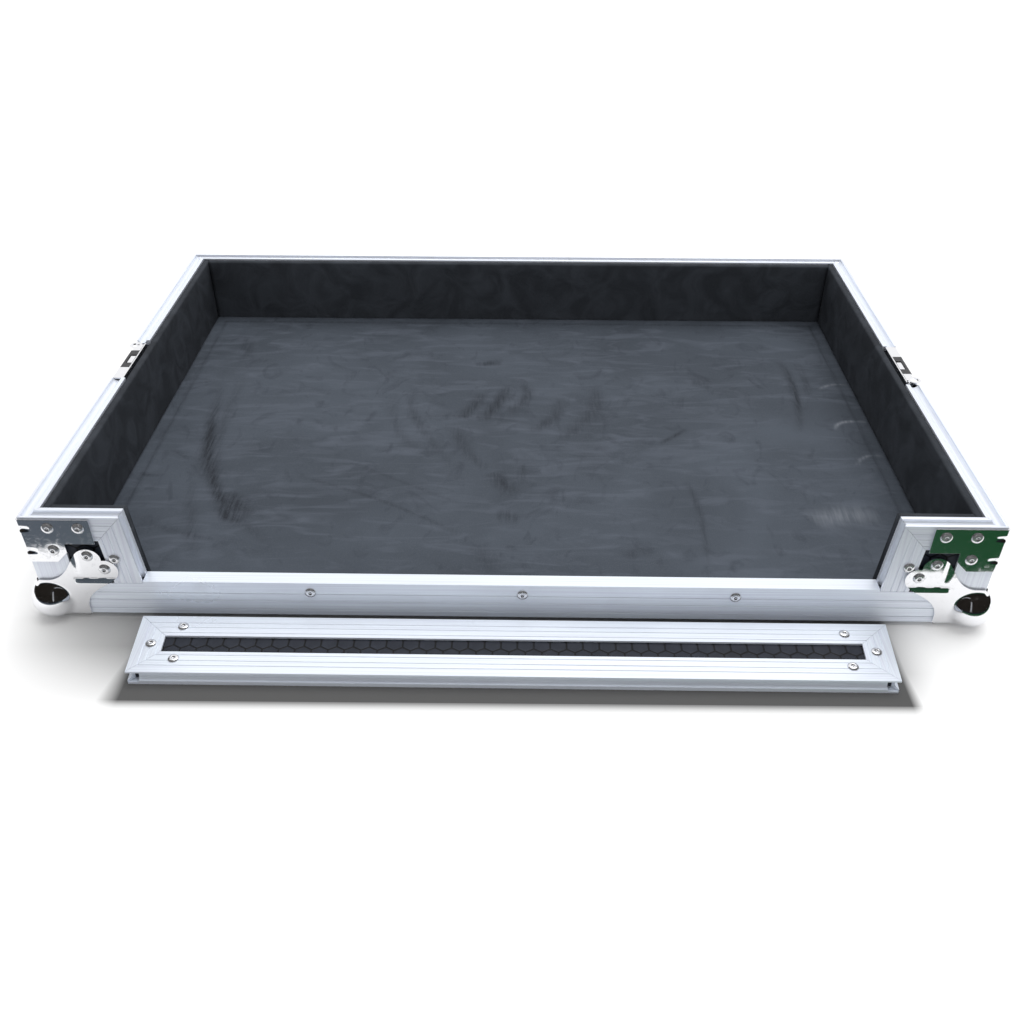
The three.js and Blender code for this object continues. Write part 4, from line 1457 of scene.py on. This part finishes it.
@dataclass
class TrayRivets:
    """Where the tray's rivets are: on braces, legs, jambs, sill, rims and bottom angles.

    Pairs are millimetres in from a side or end, and down from the rim or up from the bottom.
    """

    brace: tuple[tuple[float, float], ...] = Brace.rivets
    leg: tuple[tuple[float, float], ...] = ((47.9, 63.2), (59.3, 49.4))
    plate_proud: float = 1.8
    jamb: tuple[float, float] = (69.2, 42.0)
    sill_height: float = 25.0
    sill_places: tuple[float, ...] = (-168.0, 10.5, 189.0)
    side_shares: tuple[float, ...] = (0.28, 0.72)
    back_places: tuple[float, ...] = (-210.0, -105.0, 0.0, 105.0, 210.0)
    flange_drop: float = 14.5
    angle_height: float = 14.0

    def collect(self) -> tuple[np.ndarray, np.ndarray]:
        """Lists all the seats.

        Returns:
            The seats in metres, and their outward directions.
        """
        found: list[tuple[tuple[float, float, float], tuple[float, float, float]]] = []
        top, bottom, proud = FACES.top, FACES.bottom, self.plate_proud
        bars = (top - self.flange_drop * MM, bottom + self.angle_height * MM)
        for side in Side:
            for end in End:
                plates = [(a, top - drop * MM) for a, drop in self.brace]
                plates += [(a, bottom + height * MM) for a, height in self.leg]
                for a, z in plates:
                    found.append(self.on_end(side, end, a, z, proud))
                    found.append(self.on_side(side, FACES.end(end) - end * a * MM, z, proud))
                for a, b in self.leg:
                    x, y = side * (FACES.half_width - a * MM), FACES.end(end) - end * b * MM
                    found.append(((x, y, bottom - proud * MM), (0.0, 0.0, -1.0)))
            found.append(self.on_end(side, End.FRONT, self.jamb[0], top - self.jamb[1] * MM, 0.0))
            for share in self.side_shares:
                y = FACES.front + share * (FACES.back - FACES.front)
                found += [self.on_side(side, y, z, 0.0) for z in bars]
        for x in self.sill_places:
            found.append(((x * MM, FACES.front, bottom + self.sill_height * MM), (0.0, -1.0, 0.0)))
        for x in self.back_places:
            found += [((x * MM, FACES.back, z), (0.0, 1.0, 0.0)) for z in bars]
        places, normals = zip(*found)
        return np.array(places), np.array(normals)

    @staticmethod
    def on_end(side: Side, end: End, a: float, z: float, proud: float) -> tuple[tuple, tuple]:
        """Returns a seat on the front or back face, a millimetres in from a side."""
        place = (side * (FACES.half_width - a * MM), FACES.end(end) + end * proud * MM, z)
        return place, (0.0, float(end), 0.0)

    @staticmethod
    def on_side(side: Side, y: float, z: float, proud: float) -> tuple[tuple, tuple]:
        """Returns a seat on a side face."""
        return (side * (FACES.half_width + proud * MM), y, z), (float(side), 0.0, 0.0)

    def build(self, wardrobe: Wardrobe) -> None:
        """Makes the tray's rivets."""
        RivetSet().build("tray_rivets", TRAY, *self.collect(), wardrobe)


@dataclass
class PanelRivets:
    """The loose panel's rivets, three near each end.

    reach is their distance from the panel's middle and share their place in its depth.
    """

    reach: tuple[float, ...] = (274.0, 295.0, 271.8)
    share: tuple[float, ...] = (0.808, 0.494, 0.233)
    head_radius: float = 4.6

    def build(self, wardrobe: Wardrobe) -> None:
        """Makes the panel's rivets.

        Args:
            wardrobe: The finishes.
        """
        front, (low, high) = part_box("panel_front_rail")[0].y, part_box("panel_rear_rail")
        places = [((low.x + high.x) / 2 + side * reach * MM, front + share * (high.y - front), high.z)
                  for side in Side for reach, share in zip(self.reach, self.share)]
        up = np.tile([0.0, 0.0, 1.0], (len(places), 1))
        rivets = RivetSet(head_radius=self.head_radius)
        rivets.build("panel_rivets", PANEL, np.array(places), up, wardrobe)


# ---------------------------------------------------------------------------
# Carried-over CAD nodes
# ---------------------------------------------------------------------------


@dataclass
class Dressing:
    """Finishes for the CAD nodes that stay as they are."""

    def build(self, wardrobe: Wardrobe) -> None:
        """Gives each node its material.

        Args:
            wardrobe: The finishes.
        """
        sides, ends = [word(side) for side in Side], [word(end) for end in End]
        wear = (
            (wardrobe.aluminium[Run.X], ["back_rim", "back_bottom_angle"]
             + [f"{side}_return_rail" for side in sides]),
            (wardrobe.aluminium[Run.Y], [f"{side}_{piece}" for side in sides
                                         for piece in ("rim_front", "rim_rear", "bottom_angle")]),
            (wardrobe.aluminium[Run.Z], [f"{side}_jamb" for side in sides]
             + [f"{end}_{side}_post" for end in ends for side in sides]),
            (wardrobe.panel_aluminium[Run.X], ["front_sill", "panel_front_rail", "panel_rear_rail"]),
            (wardrobe.panel_aluminium[Run.Y], [f"panel_{side}_stile" for side in sides]),
            (wardrobe.laminate[Run.X], [f"{side}_board" for side in sides]),
            (wardrobe.laminate[Run.Y], ["back_board", "front_board"]),
            (wardrobe.laminate[Run.Z], ["base_board", "panel_board"]),
            (wardrobe.coated, [f"{side}_hook_guide" for side in sides]),
            (wardrobe.steel, [name for name in NODES if "latch_" in name or "padlock" in name]),
        )
        for material, names in wear:
            self.paint(names, material)

    @staticmethod
    def paint(names: list[str], material: bpy.types.Material) -> None:
        """Sets one material on nodes.

        Args:
            names: The nodes' names.
            material: The material.
        """
        for name in names:
            node = NODES[name]
            node.data.materials.clear()
            node.data.materials.append(material)
            LOG.info("%s wears %s", name, material.name)


# ---------------------------------------------------------------------------
# Studio
# ---------------------------------------------------------------------------


@dataclass(frozen=True)
class ContactShade:
    """The shade painted on the floor round the panel: dark before it, soft beyond its ends.

    Lengths are metres from the panel's edges, and shades run from 0, white, to 1.
    """

    turn: float = 0.006
    dark: float = 0.94
    depth: float = 0.0172
    edge: tuple[float, float] = (0.0008, 0.0012)
    fade: float = 0.0175
    fade_dark: float = 0.8
    left_end: tuple[float, float] = (0.024, 0.003)
    right_end: tuple[float, float] = (0.002, 0.012)
    left_reach: float = 0.13
    left_dark: float = 0.8
    left_rise: tuple[float, float] = (0.035, 0.045)
    right_reach: float = 0.05
    right_dark: float = 0.6
    right_rise: tuple[float, float] = (0.03, 0.02)
    step: float = 0.001
    case_fade: float = 0.02

    def shade(self, sheet: Sheet) -> Socket:
        """Works out the shade.

        It is the largest of the band before the panel, the band's fade as its cube, and the
        soft shades beyond the ends, and it stops at the case's front.

        Args:
            sheet: The floor's nodes.

        Returns:
            The shade's socket.
        """
        x, y, _ = sheet.split(sheet.place)
        y = sheet.maths("SUBTRACT", y, sheet.product(x, self.turn))
        low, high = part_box("panel_front_rail")[0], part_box("panel_rear_rail")[1]
        outer = low.y - self.depth
        left = sheet.product(
            sheet.graded(x, low.x - self.left_reach, low.x, 0.0, self.left_dark),
            sheet.graded(y, low.y - self.left_rise[0], low.y + self.left_rise[1], 0.0, 1.0),
            sheet.graded(x, low.x - self.step, low.x, 1.0, 0.0))
        away = sheet.graded(x, high.x, high.x + self.right_reach, 1.0, 0.0)
        begin, end = low.y - self.right_rise[0], low.y + self.right_rise[1]
        right = sheet.product(away, away, sheet.graded(y, begin, end, 0.0, self.right_dark),
                              sheet.graded(x, high.x, high.x + self.step, 0.0, 1.0))
        ends = sheet.maths(
            "MINIMUM",
            sheet.graded(x, low.x - self.left_end[0], low.x - self.left_end[1], 0.0, self.dark),
            sheet.graded(x, high.x + self.right_end[0], high.x + self.right_end[1], self.dark, 0.0))
        band = sheet.product(ends, sheet.graded(y, outer - self.edge[0], outer + self.edge[1], 0.0, 1.0))
        fall = sheet.graded(y, outer - self.fade, outer, 0.0, 1.0)
        before = sheet.product(fall, fall, fall, ends, self.fade_dark)
        case = sheet.graded(y, FACES.front, FACES.front + self.case_fade, 1.0, 0.0)
        return sheet.product(sheet.chain("MAXIMUM", left, right, band, before), case)


@dataclass(frozen=True)
class Card:
    """A piece of the surroundings that only metal sees, matt, from one colour to another across X.

    fading is where along Y it darkens, and to what share of its left colour.
    """

    name: str
    points: np.ndarray
    left: Colour
    right: Colour
    fading: tuple[float, float, float] | None = None
    half_width: float = 0.45

    def build(self) -> None:
        """Makes the card."""
        sheet = Sheet(self.name)
        x, y, _ = sheet.split(sheet.place)
        across = sheet.graded(x, -self.half_width, self.half_width, 0.0, 1.0)
        tone = sheet.mixed(across, self.left, self.right)
        if self.fading:
            begin, end, share = self.fading
            tone = sheet.veil(y, begin, end, 1.0, tone, tinted(self.left, share))
        sheet.set(Base_Color=tone, Roughness=1.0, Specular_IOR_Level=0.0)
        faces = grid_faces(*self.points.shape[:2])
        card = make_piece(self.name, self.points, faces, sheet.material, recalculate=False)
        card.visible_camera = card.visible_diffuse = False
        card.visible_shadow = card.visible_transmission = False


@dataclass
class Studio:
    """White studio: the floor, the lamp, the world, and dark cards that only metal sees.

    The camera's place and its three directions were solved from the photograph's edges.
    """

    focal_pixels: float = 1017.85
    picture_pixels: float = 1024.0
    sensor_width: float = 36.0
    clip: tuple[float, float] = (0.01, 60.0)
    eye: tuple[float, float, float] = (0.010545, -0.883901, 0.593495)
    right: tuple[float, float, float] = (0.9998843, 0.0151164, 0.0016734)
    down: tuple[float, float, float] = (0.0103198, -0.593525, -0.8047494)
    forward: tuple[float, float, float] = (-0.0111717, 0.8046736, -0.5936123)
    world_light: float = 0.66
    sun_light: float = 1.65
    sun_angle: float = 0.9
    sun_turn: tuple[float, float, float] = (-0.15, 0.2, 0.0)
    floor_reach: float = 9.0
    floor_glow: float = 0.07
    floor_colour: Colour = (0.97, 0.97, 0.97)
    shade_colour: Colour = (0.055, 0.055, 0.055)
    card_edge: float = -0.3225
    card_slant: float = 0.0236
    card_reach: float = 2.4
    card_far: float = -3.2
    card_height: float = 0.001
    floor_card_colours: tuple[Colour, Colour] = ((0.085, 0.1, 0.12), (0.014, 0.058, 0.024))
    floor_card_fading: tuple[float, float, float] = (-0.385, -0.43, 0.12)
    dome_radius: float = 2.6
    dome_back: float = 0.1
    dome_spread: float = 112.0
    dome_rise: float = 96.0
    dome_grid: tuple[int, int] = (24, 41)
    dome_colour: Colour = (0.016, 0.014, 0.012)
    strip_colour: Colour = (0.34, 0.35, 0.37)
    strip_sides: tuple[float, float] = (-0.09, 0.10)
    strip_ends: tuple[tuple[float, float], tuple[float, float]] = ((-2.3, 0.1), (-1.6, 1.7))

    def build(self) -> None:
        """Makes everything."""
        bpy.context.scene.view_settings.view_transform = "Standard"
        self.camera()
        self.floor()
        self.world()
        self.lamp()
        self.cards()

    def camera(self) -> None:
        """Puts the camera where the photograph was taken."""
        data = bpy.data.cameras.new("camera")
        data.sensor_width = self.sensor_width
        data.lens = self.sensor_width * self.focal_pixels / self.picture_pixels
        data.clip_start, data.clip_end = self.clip
        camera = bpy.data.objects.new("camera", data)
        turn = np.array([self.right, [-part for part in self.down], [-part for part in self.forward]]).T
        place = Matrix(turn.tolist()).to_4x4()
        place.translation = self.eye
        camera.matrix_world = place
        bpy.context.scene.collection.objects.link(camera)
        bpy.context.scene.camera = camera

    def floor(self) -> None:
        """Lays a white floor that takes the object's shadow and carries the contact shade.

        The floor glows a little to the camera, but not where the shade is half dark or more.
        """
        sheet = Sheet("studio_floor")
        shade = ContactShade().shade(sheet)
        seen = sheet.node("LightPath").outputs["Is Camera Ray"]
        glow = sheet.product(seen, sheet.graded(shade, 0.0, 0.5, self.floor_glow, 0.0))
        sheet.set(Base_Color=sheet.mixed(shade, self.floor_colour, self.shade_colour), Roughness=0.9,
                  Specular_IOR_Level=0.0, Emission_Color=WHITE, Emission_Strength=glow)
        points = self.level_square(self.floor_reach)
        floor = make_piece("studio_floor", points, grid_faces(2, 2), sheet.material, recalculate=False)

    @staticmethod
    def level_square(reach: float) -> np.ndarray:
        """Returns a two by two grid of points on the ground, facing up."""
        return np.array([[(-reach, -reach, 0.0), (reach, -reach, 0.0)],
                         [(-reach, reach, 0.0), (reach, reach, 0.0)]])

    def world(self) -> None:
        """Makes the world white to the camera and to metal, and softer to the rest."""
        world = bpy.data.worlds.new("studio")
        bpy.context.scene.world = world
        world.use_nodes = True
        graph = Graph(world.node_tree)
        path = graph.node("LightPath").outputs
        rays = [path[f"Is {ray} Ray"] for ray in ("Camera", "Glossy", "Transmission")]
        seen = graph.chain("MAXIMUM", *rays)
        background = graph.node("Background")
        graph.feed(background.inputs["Color"], WHITE)
        graph.feed(background.inputs["Strength"], graph.graded(seen, 0.0, 1.0, self.world_light, 1.0))
        graph.feed(graph.node("OutputWorld").inputs["Surface"], background.outputs[0])

    def lamp(self) -> None:
        """Hangs one soft sun above, a little behind and to the right."""
        data = bpy.data.lights.new("soft_sun", "SUN")
        data.energy, data.angle = self.sun_light, self.sun_angle
        lamp = bpy.data.objects.new("soft_sun", data)
        lamp.rotation_euler = self.sun_turn
        bpy.context.scene.collection.objects.link(lamp)

    def cards(self) -> None:
        """Stands the dark surroundings of the picture's front, seen by metal alone.

        A dark floor begins a little way in front of the case, a dark dome rises over it round
        the front, and a pale strip hangs before the dome.
        """
        reach, height = self.card_reach, self.card_height
        low, high = (self.card_edge + sign * self.card_slant * reach for sign in (-1, 1))
        floor = np.array([[(-reach, self.card_far, height), (reach, self.card_far, height)],
                          [(-reach, low, height), (reach, high, height)]])
        rise, spread = (np.radians(np.linspace(low, high, count)) for low, high, count in (
            (0.0, self.dome_rise, self.dome_grid[0]),
            (-self.dome_spread, self.dome_spread, self.dome_grid[1])))
        t, s = np.meshgrid(rise, spread, indexing="ij")
        dome = np.stack([np.sin(s) * np.cos(t), -np.cos(s) * np.cos(t), np.sin(t)], -1)
        dome = dome * self.dome_radius + np.array([0.0, -self.dome_back, 0.0])
        strip = np.array([[(x, y, z) for x in self.strip_sides] for y, z in self.strip_ends])
        Card("dark_floor_card", floor, *self.floor_card_colours, self.floor_card_fading).build()
        Card("dark_front_card", dome, self.dome_colour, self.dome_colour).build()
        Card("pale_strip_card", strip, self.strip_colour, self.strip_colour).build()


# ---------------------------------------------------------------------------
# The whole
# ---------------------------------------------------------------------------


def main() -> None:
    """Builds the sub-assemblies in order."""
    logging.basicConfig(level=logging.INFO, format="%(name)s: %(message)s")
    wardrobe = Wardrobe()
    Studio().build()
    Dressing().build(wardrobe)
    Lining().build(wardrobe)
    for side in Side:
        for end in End:
            BallCorner().build(wardrobe, side, end)
            Brace().build(wardrobe, side, end)
    TrayRivets().build(wardrobe)
    PanelRivets().build(wardrobe)


if __name__ == "__main__":
    main()
